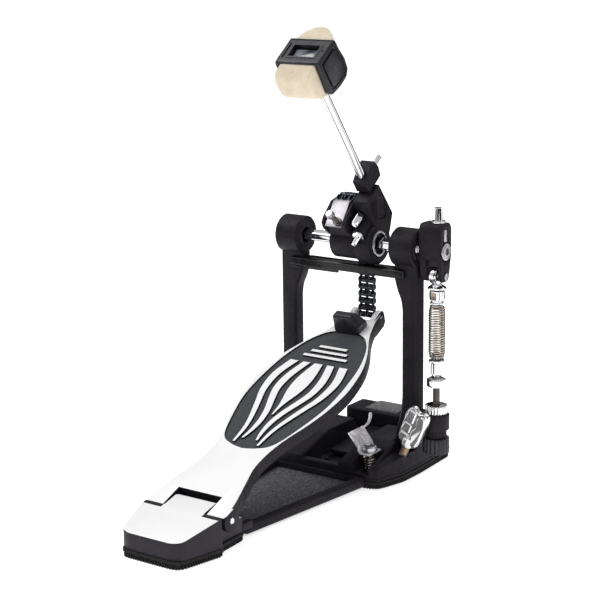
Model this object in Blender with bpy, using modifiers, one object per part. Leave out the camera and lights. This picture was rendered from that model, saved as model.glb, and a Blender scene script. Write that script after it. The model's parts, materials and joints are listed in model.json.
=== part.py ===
"""Bass drum pedal: base, hinged footboard, chain and cam, beater, return spring and hoop clamp.

Axes: X across the pedal, +Y towards the drum, Z up. The origin is on the floor, below the middle of
the drive shaft. Every size below is in millimetres, and the helpers scale it by MM to metres.
"""

import math

import bmesh
import bpy
from mathutils import Matrix, Vector

MM = 0.001
GAP = 0.4

# Driving dimensions
SHAFT_Z = 200.0
HINGE_Y, HINGE_Z = -226.3, 25.3
BOARD_Y, BOARD_Z = -219.0, 36.46
BOARD_TILT = 21.2
BOARD_LENGTH = 262.0
BOARD_SKIRT = 11.0
SLOT_HALF = 21.5
CHAIN_Y, CHAIN_FOOT_Z = 25.0, 129.0
CHAIN_PITCH = 6.35
CAM_Y, CAM_Z, CAM_RADIUS = -3.0, 211.0, 28.0
FREE_LINKS = 4
BEATER_X, BEATER_LEAN = 19.0, 36.7
HEAD_Y, HEAD_Z = -95.3, 369.4
ARM_TOP = -151.8
HUB_SCREW = (-34.0, -175.0)
SPRING_X, SPRING_Y = 84.6, 1.0
ANCHOR_Z, ROCKER_PIN_Z = 90.0, 179.0
JAW_Y, JAW_Z = -34.0, 28.0
SCREW_X, SCREW_Y = 41.5, -36.5
WING_BASE = (61.8, -14.5, 23.5)
WING_AXIS = Vector((0.518, -0.22, 1.0)).normalized()
POST_HALF_Y = 6.5
HUB_RADIUS = 16.5

BLACK = ("black powder coat", (0.022, 0.020, 0.023), 0.55, 0.0)
GLOSS_BLACK = ("gloss black enamel", (0.012, 0.012, 0.013), 0.18, 0.0)
GREY = ("grey textured coat", (0.055, 0.058, 0.060), 0.75, 0.0)
SILVER = ("satin aluminium", (0.78, 0.79, 0.80), 0.32, 1.0)
CHROME = ("chrome plate", (0.82, 0.82, 0.83), 0.10, 1.0)
STEEL = ("spring steel", (0.55, 0.52, 0.48), 0.28, 1.0)
BLUED = ("blued chain steel", (0.10, 0.11, 0.14), 0.25, 1.0)
RUBBER = ("black rubber", (0.018, 0.018, 0.018), 0.85, 0.0)
PLASTIC = ("black plastic", (0.020, 0.019, 0.022), 0.35, 0.0)
FELT = ("cream felt", (0.72, 0.66, 0.54), 0.95, 0.0)

AXES = {
    "X": Matrix(((0, 0, 1), (1, 0, 0), (0, 1, 0))),
    "Y": Matrix(((1, 0, 0), (0, 0, -1), (0, 1, 0))),
    "Z": Matrix.Identity(3),
}


def collection(name):
    made = bpy.data.collections.new(name)
    bpy.context.scene.collection.children.link(made)
    return made


def clear_scene():
    for obj in list(bpy.data.objects):
        bpy.data.objects.remove(obj)


clear_scene()
PARTS = collection("bass_drum_pedal")
CUTTERS = collection("cutters")


def place(x, y, z, tilt=0.0):
    """A frame at a point in millimetres, tilted about +X by some degrees."""
    at = Matrix.Translation(Vector((x, y, z)) * MM)
    return at @ Matrix.Rotation(math.radians(tilt), 4, "X")


WORLD = Matrix.Identity(4)
BOARD = place(0, BOARD_Y, BOARD_Z, BOARD_TILT)
HEAD = place(BEATER_X, HEAD_Y, HEAD_Z, BEATER_LEAN)


def material(finish):
    name, colour, roughness, metallic = finish
    made = bpy.data.materials.get(name)
    if made is None:
        made = bpy.data.materials.new(name)
        made.use_nodes = True
        shader = made.node_tree.nodes["Principled BSDF"]
        shader.inputs["Base Color"].default_value = (*colour, 1.0)
        shader.inputs["Roughness"].default_value = roughness
        shader.inputs["Metallic"].default_value = metallic
    return made


def smooth(obj, angle=35.0):
    obj.data.shade_smooth()
    obj.data.set_sharp_from_angle(angle=math.radians(angle))


def round_edges(obj, width, segments=1, limit=35.0):
    if width:
        bevel = obj.modifiers.new("rounded edges", "BEVEL")
        bevel.width = width * MM
        bevel.segments = segments
        bevel.limit_method = "ANGLE"
        bevel.angle_limit = math.radians(limit)


def from_bmesh(name, mesh, finish, matrix, bevel=0.0, segments=1):
    data = bpy.data.meshes.new(name)
    mesh.to_mesh(data)
    mesh.free()
    obj = bpy.data.objects.new(name, data)
    PARTS.objects.link(obj)
    obj.matrix_world = matrix
    data.materials.append(material(finish))
    smooth(obj)
    round_edges(obj, bevel, segments)
    return obj


def block(name, low, high, finish, frame=WORLD, bevel=0.0, segments=1):
    """A box between two corners in the frame's own axes."""
    low, high = Vector(low) * MM, Vector(high) * MM
    mesh = bmesh.new()
    bmesh.ops.create_cube(mesh, size=1.0)
    bmesh.ops.scale(mesh, vec=high - low, verts=mesh.verts)
    return from_bmesh(name, mesh, finish, frame @ Matrix.Translation((low + high) / 2), bevel, segments)


def cylinder(name, start, end, radius, finish, sides=24, end_radius=None, frame=WORLD, bevel=0.0):
    """A round bar or cone between two points in the frame's own axes."""
    start, end = Vector(start) * MM, Vector(end) * MM
    mesh = bmesh.new()
    tip = radius if end_radius is None else end_radius
    bmesh.ops.create_cone(
        mesh, cap_ends=True, segments=sides, radius1=radius * MM, radius2=tip * MM, depth=(end - start).length
    )
    turn = (end - start).to_track_quat("Z", "Y").to_matrix().to_4x4()
    return from_bmesh(name, mesh, finish, frame @ Matrix.Translation((start + end) / 2) @ turn, bevel, 1)


def disc_x(name, low_x, high_x, y, z, radius, finish, sides=32, bevel=0.0, frame=WORLD):
    """A cylinder along X."""
    return cylinder(name, (low_x, y, z), (high_x, y, z), radius, finish, sides, None, frame, bevel)


def turned(name, profile, finish, frame=WORLD, steps=24):
    """A profile of (radius, height) points, from the top down its outer side, turned about the frame's Z."""
    data = bpy.data.meshes.new(name)
    points = [(r * MM, 0.0, z * MM) for r, z in profile]
    data.from_pydata(points, [(i, i + 1) for i in range(len(points) - 1)], [])
    obj = bpy.data.objects.new(name, data)
    PARTS.objects.link(obj)
    obj.matrix_world = frame
    data.materials.append(material(finish))
    screw = obj.modifiers.new("turned", "SCREW")
    screw.steps = steps
    screw.render_steps = steps
    screw.use_merge_vertices = True
    screw.merge_threshold = 0.00001
    screw.use_smooth_shade = True
    return obj


def as_mesh(curve):
    """The curve object as a welded mesh object of the same name and place."""
    bpy.context.view_layer.update()
    evaluated = curve.evaluated_get(bpy.context.evaluated_depsgraph_get())
    data = bpy.data.meshes.new_from_object(evaluated)
    mesh = bmesh.new()
    mesh.from_mesh(data)
    bmesh.ops.remove_doubles(mesh, verts=mesh.verts, dist=0.000001)
    bmesh.ops.dissolve_limit(mesh, angle_limit=0.0005, verts=mesh.verts, edges=mesh.edges)
    bmesh.ops.recalc_face_normals(mesh, faces=mesh.faces)
    mesh.to_mesh(data)
    mesh.free()
    name, world = curve.name, curve.matrix_world.copy()
    bpy.data.objects.remove(curve)
    obj = bpy.data.objects.new(name, data)
    PARTS.objects.link(obj)
    obj.matrix_world = world
    smooth(obj)
    return obj


def plate(name, outlines, axis, low, high, finish, frame=WORLD, bevel=0.0, segments=1):
    """A flat outline, with any inner outlines as holes, between two heights along an axis.

    Points are (y, z) for an X plate, (x, z) for a Y plate and (x, y) for a Z plate.
    """
    if not isinstance(outlines[0], list):
        outlines = [outlines]
    data = bpy.data.curves.new(name, "CURVE")
    data.dimensions = "2D"
    data.fill_mode = "BOTH"
    data.extrude = (high - low) / 2 * MM
    for outline in outlines:
        spline = data.splines.new("POLY")
        spline.points.add(len(outline) - 1)
        for point, (a, b) in zip(spline.points, outline):
            point.co = (a * MM, b * MM, 0.0, 1.0)
        spline.use_cyclic_u = True
    data.materials.append(material(finish))
    curve = bpy.data.objects.new(name, data)
    PARTS.objects.link(curve)
    middle = Vector([(low + high) / 2 * MM * (axis == a) for a in "XYZ"])
    curve.matrix_world = frame @ Matrix.Translation(middle) @ AXES[axis].to_4x4()
    obj = as_mesh(curve)
    round_edges(obj, bevel, segments)
    return obj


def combine(target, others, operation):
    """Cuts the others from the target, joins them to it, or keeps what they share."""
    for other in others:
        PARTS.objects.unlink(other)
        CUTTERS.objects.link(other)
        other.hide_render = True
        other.display_type = "WIRE"
        boolean = target.modifiers.new(other.name, "BOOLEAN")
        boolean.operation = operation
        boolean.object = other
    return target


def cut(target, *others):
    return combine(target, others, "DIFFERENCE")


def join(target, *others):
    return combine(target, others, "UNION")


def keep(target, *others):
    return combine(target, others, "INTERSECT")


def mirrored(half):
    """An outline closed by its mirror image in X."""
    return half + [(-x, y) for x, y in reversed(half) if abs(x) > 1e-6]


def arc(centre, radius, start, end, steps):
    """Points on an arc, in degrees from the first axis."""
    angles = [math.radians(start + (end - start) * i / steps) for i in range(steps + 1)]
    return [(centre[0] + radius * math.cos(a), centre[1] + radius * math.sin(a)) for a in angles]


def between(t, p, q, r, s):
    """The Catmull-Rom value at t between q and r."""
    bend, turn = 2 * p - 5 * q + 4 * r - s, 3 * q - p - 3 * r + s
    return 0.5 * (2 * q + (r - p) * t + bend * t * t + turn * t ** 3)


def flowing(points, steps):
    """A smooth line through points, as a Catmull-Rom spline."""
    padded = [points[0], *points, points[-1]]
    line = []
    for a, b, c, d in zip(padded, padded[1:], padded[2:], padded[3:]):
        for i in range(steps):
            t = i / steps
            line.append(tuple(between(t, *four) for four in zip(a, b, c, d)))
    return line + [points[-1]]


# Base


FRONT_HALF = [(46, -53.5), (58.5, -50), (66.5, -22), (67, 6), (64.5, 62), (40, 62), (38, 76)]
HEEL_HALF = [(22, -280.3), (27.5, -278.5), (30.3, -273), (38.6, -238), (33, -232), (31.5, -200)]
TONGUE_Z = (3.0, 5.8)


def inset(half, by):
    """A half outline drawn in towards its middle."""
    ys = [y for _, y in half]
    middle = (min(ys) + max(ys)) / 2
    reach = (max(ys) - min(ys)) / 2
    return [(x - by, middle + (y - middle) * (1 - by / reach)) for x, y in half]


def rubber_soles():
    sole = plate("front_rubber_sole", mirrored(FRONT_HALF), "Z", 0, 6, RUBBER)
    cut(sole, block("sole_recess", (-42.4, -60, TONGUE_Z[0] - GAP), (42.4, -17.6, 7), RUBBER))
    plate("heel_rubber_sole", mirrored(HEEL_HALF), "Z", 0, 6.7, RUBBER)


def wing(side):
    """One raised side of the front casting, with the boss that carries the post."""
    inner = [(-51, 7), (-51, 18), (-10, 30), (30, 30), (43, 12), (43, 7)]
    outer = [(-50.5, 7.4), (-50.5, 17), (-20, 23), (32, 23), (46, 15), (59.5, 11), (59.5, 7.4)]
    near, far = sorted((18 * side, 52 * side))
    raised = plate(f"wing_inner_{side}", inner, "X", near, far, BLACK, bevel=1.2)
    near, far = sorted((50.6 * side, 75 * side))
    edge = plate(f"wing_outer_{side}", outer, "X", near, far, BLACK, bevel=1.2)
    for k, piece in enumerate((raised, edge)):
        bound = mirrored(inset(FRONT_HALF, 1.3 + 0.3 * k))
        keep(piece, plate(f"wing_bound_{side}_{k}", bound, "Z", 0, 50, BLACK))
    return [raised, edge]


def front_casting():
    footprint = mirrored(inset(FRONT_HALF, 1.0))
    body = plate("front_casting", footprint, "Z", 6.3, 8.4, BLACK)
    sides = wing(1) + wing(-1)
    wall = block("front_wall", (-46, -51, 7), (46, -44, 15), BLACK, bevel=1.0)
    join(body, wall, *sides)
    for side in (1, -1):
        low, high = sorted((45.6 * side, 62.4 * side))
        deep = POST_HALF_Y + GAP
        pocket = block(f"post_pocket_{side}", (low, -deep, 12), (high, deep, 40), BLACK)
        hole = cylinder(f"base_screw_hole_{side}", (10 * side, -30, 0), (10 * side, -30, 12), 2.4, BLACK, 12)
        cut(body, pocket, hole)
    cut(body, block("spring_notch", (31, -60, 11), (49.5, -23.5, 40), BLACK))
    cut(body, cylinder("fulcrum_hole", (SCREW_X, SCREW_Y, 7.6), (SCREW_X, SCREW_Y, 20), 2.9, BLACK, 12))
    start = Vector(WING_BASE)
    cut(body, cylinder("wing_bolt_hole", start - WING_AXIS * 9, start + WING_AXIS * 12, 4.4, BLACK, 16))
    return body


def base_plate():
    half = [(29, -196), (30, -194), (47.5, -56), (47.5, -54)]
    rim = plate("base_plate", mirrored(half), "Z", 1.5, 10, BLACK, bevel=1.6)
    floor = [(24.5, -190), (40.5, -57.5)]
    cut(rim, plate("floor_recess", mirrored(floor), "Z", 4.6, 14, GREY))
    front_tongue = block("front_tongue", (-42, -58, TONGUE_Z[0]), (42, -18, TONGUE_Z[1]), BLACK)
    heel_tongue = block("heel_tongue", (-24, -232, 7.2), (24, -190, 9.8), BLACK)
    join(rim, front_tongue, heel_tongue)
    for side in (1, -1):
        cut(rim, cylinder(f"tongue_hole_{side}", (10 * side, -30, 2), (10 * side, -30, 8), 2.4, BLACK, 12))
        turned(
            f"base_screw_{'right' if side > 0 else 'left'}",
            [(0, 11.8), (3.2, 11.8), (4.2, 10.8), (4.2, 8.8), (2.0, 8.8), (2.0, 3.0), (0, 3.0)],
            BLACK, place(10 * side, -30, 0), 16,
        )


def heel_block():
    """The heel plate: a wedge with a hinge tongue, standing on its rubber sole."""
    side = [(-285, 7), (-285, 19.2), (-230, 32.7), (-230, 7)]
    body = plate("heel_block", side, "X", -40, 40, SILVER)
    footprint = [(21.5, -279.3), (26.6, -277.6), (29.2, -272.5), (37.5, -240), (37.5, -237.3)]
    keep(body, plate("heel_footprint", mirrored(footprint), "Z", 0, 40, SILVER))
    hinge = [(-239, 12), (-239, 30.48), (-223.4, 34.31), (-219.8, 33.4), (-217.4, 29), (-217.4, 20)]
    hinge += [(-219, 12)]
    tongue = plate("hinge_tongue", hinge, "X", -18.4, 20.2, SILVER)
    foot = block("heel_foot", (-31, -240, 7.3), (31, -204, 19.5), BLACK)
    join(body, tongue, foot)
    cut(body, disc_x("pin_bore", -30, 30, HINGE_Y, HINGE_Z, 2.8, BLACK, 16))
    cut(body, block("plate_slot", (-24.4, -233, 6.5), (24.4, -200, 10.2), BLACK))
    disc_x("hinge_pin", -39.0, 39.0, HINGE_Y, HINGE_Z, 2.4, CHROME, 20, bevel=0.4)


# Posts, bearings and cross bar


def on_shaft(name, side, near, far, radius, finish, sides=24, bevel=0.0):
    """A disc about the shaft, between two distances out on one side."""
    return disc_x(name, *sorted((near * side, far * side)), 0, SHAFT_Z, radius, finish, sides, bevel)


def post(side):
    """An upright with its bearing hub, from the hub down to its foot in the casting."""
    name = "right_post" if side > 0 else "left_post"
    outline = [(62, 12), (62, 25.2), (69.5, 25.7), (69.5, 186), (66, 190), (50, 190), (46.7, 186)]
    outline += [(46.7, 173)]
    gusset = flowing([(46.7, 173), (49.5, 163), (53, 155), (54.5, 146)], 3)[1:]
    foot = flowing([(54.5, 70), (53.0, 55), (49.0, 40), (47.5, 30)], 2)
    outline = outline + gusset + foot + [(46, 24), (46, 12)]
    body = plate(name, [(x * side, z) for x, z in outline], "Y", -POST_HALF_Y, POST_HALF_Y, BLACK, bevel=1.6)
    join(body, on_shaft(f"hub_{side}", side, 46.7, 69.2, HUB_RADIUS, BLACK, 40, 1.0))
    cut(body, on_shaft(f"shaft_hole_{side}", side, 40, 75, 6.8, BLACK))
    cut(body, on_shaft(f"bearing_pocket_{side}", side, 59.6, 75, 11.4, BLACK, 32))
    ring = on_shaft(name.replace("post", "bearing"), side, 60, 68.8, 11, CHROME, 32, 0.4)
    cut(ring, on_shaft(f"bearing_bore_{side}", side, 55, 75, 6.2, CHROME))
    return body


def spring_lug(right_post):
    """The lug on the right post that the spring's adjuster stands in."""
    lug = cylinder("lug", (SPRING_X, SPRING_Y, 45), (SPRING_X, SPRING_Y, 59), 11.3, BLACK, 32, bevel=0.8)
    bridge = block("lug_bridge", (66, -6, 45), (SPRING_X, 6.4, 59), BLACK, bevel=0.8)
    collar = cylinder("lug_collar", (SPRING_X, SPRING_Y, 38.4), (SPRING_X, SPRING_Y, 46), 8.8, BLACK, 24)
    join(right_post, bridge, lug, collar)
    cut(right_post, cylinder("rod_hole", (SPRING_X, SPRING_Y, 30), (SPRING_X, SPRING_Y, 65), 3.5, BLACK, 20))


def cross_bar():
    strip = block("cross_bar", (-58, -10.0, 174), (58, -POST_HALF_Y - GAP, 181), GLOSS_BLACK, bevel=0.8)
    middle = block("bar_middle", (-46.2, -8, 174), (46.2, 6, 181), GLOSS_BLACK, bevel=0.8)
    lip = block("bar_lip", (-57, -9.8, 171.8), (-8, -POST_HALF_Y - GAP, 176), GLOSS_BLACK, bevel=0.8)
    join(strip, middle, lip)
    for side in (1, -1):
        x = 53.5 * side
        cylinder(
            f"bar_screw_{'right' if side > 0 else 'left'}",
            (x, POST_HALF_Y + GAP, 177.5), (x, 9, 177.5), 3.6, CHROME, 6, bevel=0.4,
        )


# Footboard, in its own frame: x across, y along the board from the hinge, z square to it


BOARD_HALF = flowing([
    (37.8, -18), (36, 0), (30, 24), (25.8, 42), (26.2, 61), (30.2, 80), (37.9, 102), (43.8, 125),
    (46.5, 151), (43, 180), (35, 203), (24.7, 223), (19, 237), (15, 252), (14.5, BOARD_LENGTH),
], 2)
PAD_HALF = flowing([
    (0, 61), (12, 63.5), (24, 71), (32.5, 92), (41, 130), (39.5, 175), (32, 205), (22, 222), (11, 229),
    (0, 230.6),
], 2)


OUTER_RIB = [
    (25.0, 4.1, 180), (29.5, 3.7, 163), (30.2, 3.4, 150), (28.0, 3.0, 134.5), (22.7, 2.6, 119),
    (18.0, 2.3, 105), (14.6, 1.9, 93), (12.7, 1.6, 82), (11.9, 1.0, 67),
]
INNER_RIB = [
    (12.1, 3.5, 180), (16.5, 3.6, 163), (17.9, 3.5, 150), (16.9, 3.3, 138), (12.7, 3.1, 124.5),
    (8.0, 2.8, 111), (5.4, 2.4, 98), (5.1, 1.9, 87), (5.9, 1.4, 79), (7.0, 0.9, 73),
]
LEAF = [
    (0, 3.9, 180), (0, 7.0, 163), (0, 7.7, 151), (0, 6.5, 139.5), (0, 3.6, 128), (0, 1.5, 118), (0, 0.7, 107),
]


def offset_board(by):
    return [(max(x - by, 1.0), s) for x, s in BOARD_HALF if 6 < s < 240]


def rib(name, stations, side, low, high, grow=0.0):
    """A raised grip rib through stations of (middle, half its width, place along the board)."""
    top, foot = stations[0][2], stations[-1][2]
    left, right = [], []
    for middle, half, s in flowing(stations, 2):
        stretched = s + grow * (2 * (s - foot) / (top - foot) - 1)
        left.append((side * (middle - half - grow), stretched))
        right.append((side * (middle + half + grow), stretched))
    return plate(name, left + right[::-1], "Z", low, high, SILVER, BOARD)


def ribs(prefix, low, high, grow=0.0):
    """Four curved ribs, the middle leaf, and three short grip bars above them."""
    made = [rib(f"{prefix}_leaf", LEAF, 1, low, high, grow)]
    for side in (-1, 1):
        made.append(rib(f"{prefix}_outer_{side}", OUTER_RIB, side, low, high, grow))
        made.append(rib(f"{prefix}_inner_{side}", INNER_RIB, side, low, high, grow))
    for k, half in enumerate((22, 18, 14)):
        s = 190 + 7 * k
        corners = [(-half - grow, s - 1.5 - grow), (half + grow, s - 1.5 - grow)]
        corners += [(half + grow, s + 1.5 + grow), (-half - grow, s + 1.5 + grow)]
        made.append(plate(f"{prefix}_bar_{k}", corners, "Z", low, high, SILVER, BOARD))
    return made


def footboard():
    board = plate("footboard", mirrored(BOARD_HALF), "Z", -BOARD_SKIRT, 0, SILVER, BOARD)
    hollow = plate("board_hollow", mirrored(offset_board(2.6)), "Z", -20, -3.6, SILVER, BOARD)
    cut(board, hollow)
    slot = block("hinge_slot", (-SLOT_HALF, -30, -30), (SLOT_HALF, 3.4, 10), SILVER, BOARD)
    cut(board, slot)
    for side in (1, -1):
        low, high = sorted((33.8 * side, 38.6 * side))
        ear = disc_x(f"hinge_ear_{side}", low, high, HINGE_Y, HINGE_Z, 9, BLACK, 28)
        join(board, ear)
        fin = flowing([(236, -3), (250, 0.8), (259, 2.6), (265, 1.4), (266.2, -3), (265.4, -10)], 3)
        fin += [(262, -13), (248, -14.5), (236, -13.5)]
        low, high = sorted((9.4 * side, 14.4 * side))
        join(board, plate(f"tip_ear_{side}", fin, "X", low, high, SILVER, BOARD))
    tip_slot = block("chain_slot", (-9.4, 251, -20), (9.4, 275, 10), SILVER, BOARD)
    cut(board, tip_slot)
    cut(board, disc_x("hinge_bore", -45, 45, HINGE_Y, HINGE_Z, 2.8, SILVER, 16))
    cut(board, disc_x("chain_bore", -20, 20, CHAIN_Y, CHAIN_FOOT_Z, 2.0, SILVER, 12))
    cut(board, plate("pad_recess", mirrored(PAD_HALF), "Z", -2.3, 4, SILVER, BOARD))
    join(board, *ribs("rib", -2.9, 0.3))
    disc_x("chain_pin", -14.2, 14.2, CHAIN_Y, CHAIN_FOOT_Z, 1.6, CHROME, 16, 0.3)


def footboard_pad():
    half = [(max(x - GAP, 0), s + (0.5 if s < 145 else -0.5)) for x, s in PAD_HALF]
    pad = plate("footboard_pad", mirrored(half), "Z", -2.0, -1.2, GREY, BOARD)
    cut(pad, *ribs("rib_gap", -3, 3, GAP))


def toe_stop():
    profile = [(227.5, 0.4), (228.5, 14.5), (230.5, 17), (237, 16.3), (241, 6), (242, 0.4)]
    plate("toe_stop", profile, "X", -13, 13, PLASTIC, BOARD, 1.6, 2)


# Chain and cam


def on_cam(angle, radius=CAM_RADIUS):
    a = math.radians(angle)
    return CAM_Y + radius * math.cos(a), CAM_Z + radius * math.sin(a)


LINK_ANGLE = 2 * math.degrees(math.asin(CHAIN_PITCH / 2 / CAM_RADIUS))
ROLLER_RADIUS, CHAIN_HALF_X, SIDE_PLATE = 1.9, 8.2, (5.6, 6.8)


def roller(name, y, z):
    return disc_x(name, -CHAIN_HALF_X, CHAIN_HALF_X, y, z, ROLLER_RADIUS, BLUED, 8)


def side_strips(name, outline):
    """The side plates of a chain run, one near each end of its rollers."""
    near, far = SIDE_PLATE
    return [
        plate(f"{name}_left", outline, "X", -far, -near, BLUED),
        plate(f"{name}_right", outline, "X", near, far, BLUED),
    ]


def free_links():
    """The links that leave the cam as it turns, each one hinged to the link above it."""
    for k in range(FREE_LINKS):
        (y, z), (up_y, up_z) = on_cam(k * LINK_ANGLE), on_cam((k + 1) * LINK_ANGLE)
        along = Vector((up_y - y, up_z - z)).normalized()
        across = Vector((along.y, -along.x)) * 2.2
        foot = Vector((y, z)) - along * 1.0
        head = Vector((y, z)) + along * (CHAIN_PITCH - ROLLER_RADIUS - 0.5)
        outline = [tuple(p) for p in (foot - across, foot + across, head + across, head - across)]
        name = f"chain_link_{k + 1}"
        join(roller(name, y, z), *side_strips(name, outline))


def chain_wrap():
    """The links that stay on the cam, up to the clamp plate."""
    first, last = FREE_LINKS * LINK_ANGLE, (FREE_LINKS + 3) * LINK_ANGLE
    start = first - 3
    outer = arc((CAM_Y, CAM_Z), CAM_RADIUS + 2.2, start, last + 3, 8)
    inner = arc((CAM_Y, CAM_Z), CAM_RADIUS - 2.2, last + 3, start, 8)
    made = roller("chain_wrap", *on_cam(first))
    rollers = [roller(f"wrap_roller_{k}", *on_cam(first + k * LINK_ANGLE)) for k in range(1, 4)]
    join(made, *rollers, *side_strips("wrap", outer + inner))


def chain_run():
    """The straight run from the footboard pin up to the first free link."""
    top = CAM_Z - CHAIN_PITCH
    count = round((top - CHAIN_FOOT_Z) / CHAIN_PITCH)
    pitch = (top - CHAIN_FOOT_Z) / count
    outline = [(CHAIN_Y - 2.2, CHAIN_FOOT_Z - 3), (CHAIN_Y + 2.2, CHAIN_FOOT_Z - 3)]
    outline += [(CHAIN_Y + 2.2, top + 0.5), (CHAIN_Y - 2.2, top + 0.5)]
    run = roller("chain_run", CHAIN_Y, CHAIN_FOOT_Z + pitch)
    rollers = [roller(f"run_roller_{k}", CHAIN_Y, CHAIN_FOOT_Z + k * pitch) for k in range(2, count + 1)]
    join(run, *rollers, *side_strips("run", outline))
    cut(run, disc_x("run_pin_hole", -12, 12, CHAIN_Y, CHAIN_FOOT_Z, 2.0, BLUED, 12))


def chain_cam():
    hub = disc_x("chain_cam", -12.9, 12.5, 0, SHAFT_Z, 15.5, BLACK, 36, 0.8)
    rim = [on_cam(a, 24.6) for a in range(-6, 107, 8)]
    rim += [(-14.5, 231), (-25, 216.5), (-18, 208), (0, 200), (14, 205)]
    core = plate("cam_core", rim, "X", -9.0, 9.0, BLACK)
    cheeks = [on_cam(a, 27.0) for a in range(-4, 90, 8)]
    cheeks += [(-3, 238.2), (-13.7, 235.4), (-26, 223.6), (-28.5, 218.5), (-26, 213.5), (-14, 205)]
    cheeks += [(0, 199), (14, 203)]
    join(hub, core)
    for side in (1, -1):
        low, high = sorted((9.3 * side, 11.6 * side))
        join(hub, plate(f"cam_cheek_{side}", cheeks, "X", low - 0.4, high, BLACK, bevel=0.5))
    cut(hub, disc_x("cam_hex", -20, 20, 0, SHAFT_Z, 6.1, BLACK, 6))
    cut(hub, block("chain_groove", (-8.7, 15, 190), (8.7, 40, 260), BLACK))
    groove = [on_cam(a, 25.0) for a in range(-20, 119, 6)] + [on_cam(a, 36.0) for a in range(118, -21, -6)]
    cut(hub, plate("chain_channel", groove, "X", -8.7, 8.7, BLACK))


def clamp_plate():
    """The bent plate that clamps the chain's end to the cam, with its screw."""
    outline = [(-6.2, 239.4), (-15.2, 235.6), (-28.6, 216.6), (-27.0, 215.4), (-14.0, 233.3), (-6.2, 237.3)]
    plate("chain_clamp_plate", outline, "X", -8.2, 8.2, CHROME, bevel=0.3)
    normal = Vector((-0.817, 0.576))
    seat = Vector((-26.0, 220.2))

    def stud(name, start, end, radius):
        near, far = (3.4, *(seat + normal * start)), (3.4, *(seat + normal * end))
        return cylinder(name, near, far, radius, CHROME, 20, bevel=0.4)

    thread = stud("chain_clamp_screw", 0.6, 13, 2.2)
    join(thread, stud("clamp_head", 11.5, 16.5, 3.6), stud("clamp_washer", 0.5, 1.9, 3.9))


# Shaft, beater holder and beater


def drive_shaft():
    cylinder("drive_shaft", (-67, 0, SHAFT_Z), (92, 0, SHAFT_Z), 5.6, CHROME, 6, bevel=0.3)


def in_head(y, z):
    """A world point of the beater's plane, as (across, along) the leaning rod."""
    lean = math.radians(BEATER_LEAN)
    y, z = y - HEAD_Y, z - HEAD_Z
    return y * math.cos(lean) + z * math.sin(lean), z * math.cos(lean) - y * math.sin(lean)


def key_screw(name, x, across, along, length, radius, washer=0.0):
    """A square-headed screw that stands out square to the rod, towards the player."""
    base = (x, across, along)
    screw = cylinder(name, base, (x, across - length, along), radius, CHROME, 4, frame=HEAD, bevel=0.5)
    if washer:
        rim = (x, across - 1.8, along)
        join(screw, cylinder(f"{name}_washer", base, rim, washer, CHROME, 20, frame=HEAD))


def beater_holder():
    """The hub on the shaft with the arm that leans with the rod."""
    hub = disc_x("beater_holder", 12.9, 28.6, 0, SHAFT_Z, 18, BLACK, 40, 1.0)
    hub_across, hub_along = in_head(0, SHAFT_Z)
    side = [(-18, ARM_TOP), (5.6, ARM_TOP), (6.8, -187), (-6, -197), (-16, -200), (-21.5, -182)]
    arm = plate("holder_arm", side, "X", 12.9 - BEATER_X, 28.6 - BEATER_X, BLACK, HEAD, 1.0)
    boss_from = (0.5, hub_across + 8, hub_along + 17.5)
    boss_to = (0.5, HUB_SCREW[0] + GAP, HUB_SCREW[1])
    boss = cylinder("hub_screw_boss", boss_from, boss_to, 6.2, BLACK, 24, frame=HEAD)
    join(hub, arm, boss)
    cut(hub, disc_x("holder_hex", 5, 35, 0, SHAFT_Z, 6.1, BLACK, 6))
    cut(hub, disc_x("cup_seat", 26.4, 35, 0, SHAFT_Z, 11.6, BLACK, 32))
    cut(hub, cylinder("rod_bore", (0, 0, -220), (0, 0, -80), 4.3, BLACK, 20, frame=HEAD))
    ring = disc_x("holder_ring", 26.8, 29.4, 0, SHAFT_Z, 11.2, CHROME, 32, 0.4)
    cut(ring, disc_x("ring_bore", 20, 35, 0, SHAFT_Z, 9.2, CHROME, 32))
    face_to = (0.5, HUB_SCREW[0] - 14, HUB_SCREW[1])
    cut(hub, cylinder("hub_screw_face", boss_to, face_to, 5.9, BLACK, 24, frame=HEAD))
    cut(hub, cylinder("key_hole", (-1.0, -26, -164), (-1.0, -9, -164), 4.7, BLACK, 16, frame=HEAD))
    key_screw("rod_key_screw", -1.0, -11.0, -164, 21.5, 4.2)
    key_screw("hub_key_screw", 0.5, *HUB_SCREW, 10.5, 3.0, 5.4)


def rod_clamp():
    """The collar on top of the holder that grips the beater rod."""
    side = [(-6.6, ARM_TOP + 0.6), (15, ARM_TOP + 0.6), (17, -142), (15, -134), (9, -133.5), (-6.6, -139.5)]
    collar = plate("rod_clamp", side, "X", -7.0, 7.0, BLACK, HEAD, 1.0)
    cut(collar, cylinder("collar_bore", (0, 0, -200), (0, 0, -80), 4.3, BLACK, 20, frame=HEAD))
    cylinder("clamp_key_screw", (0, 17.6, -144), (0, 30.5, -144), 2.8, CHROME, 4, frame=HEAD, bevel=0.5)


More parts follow.
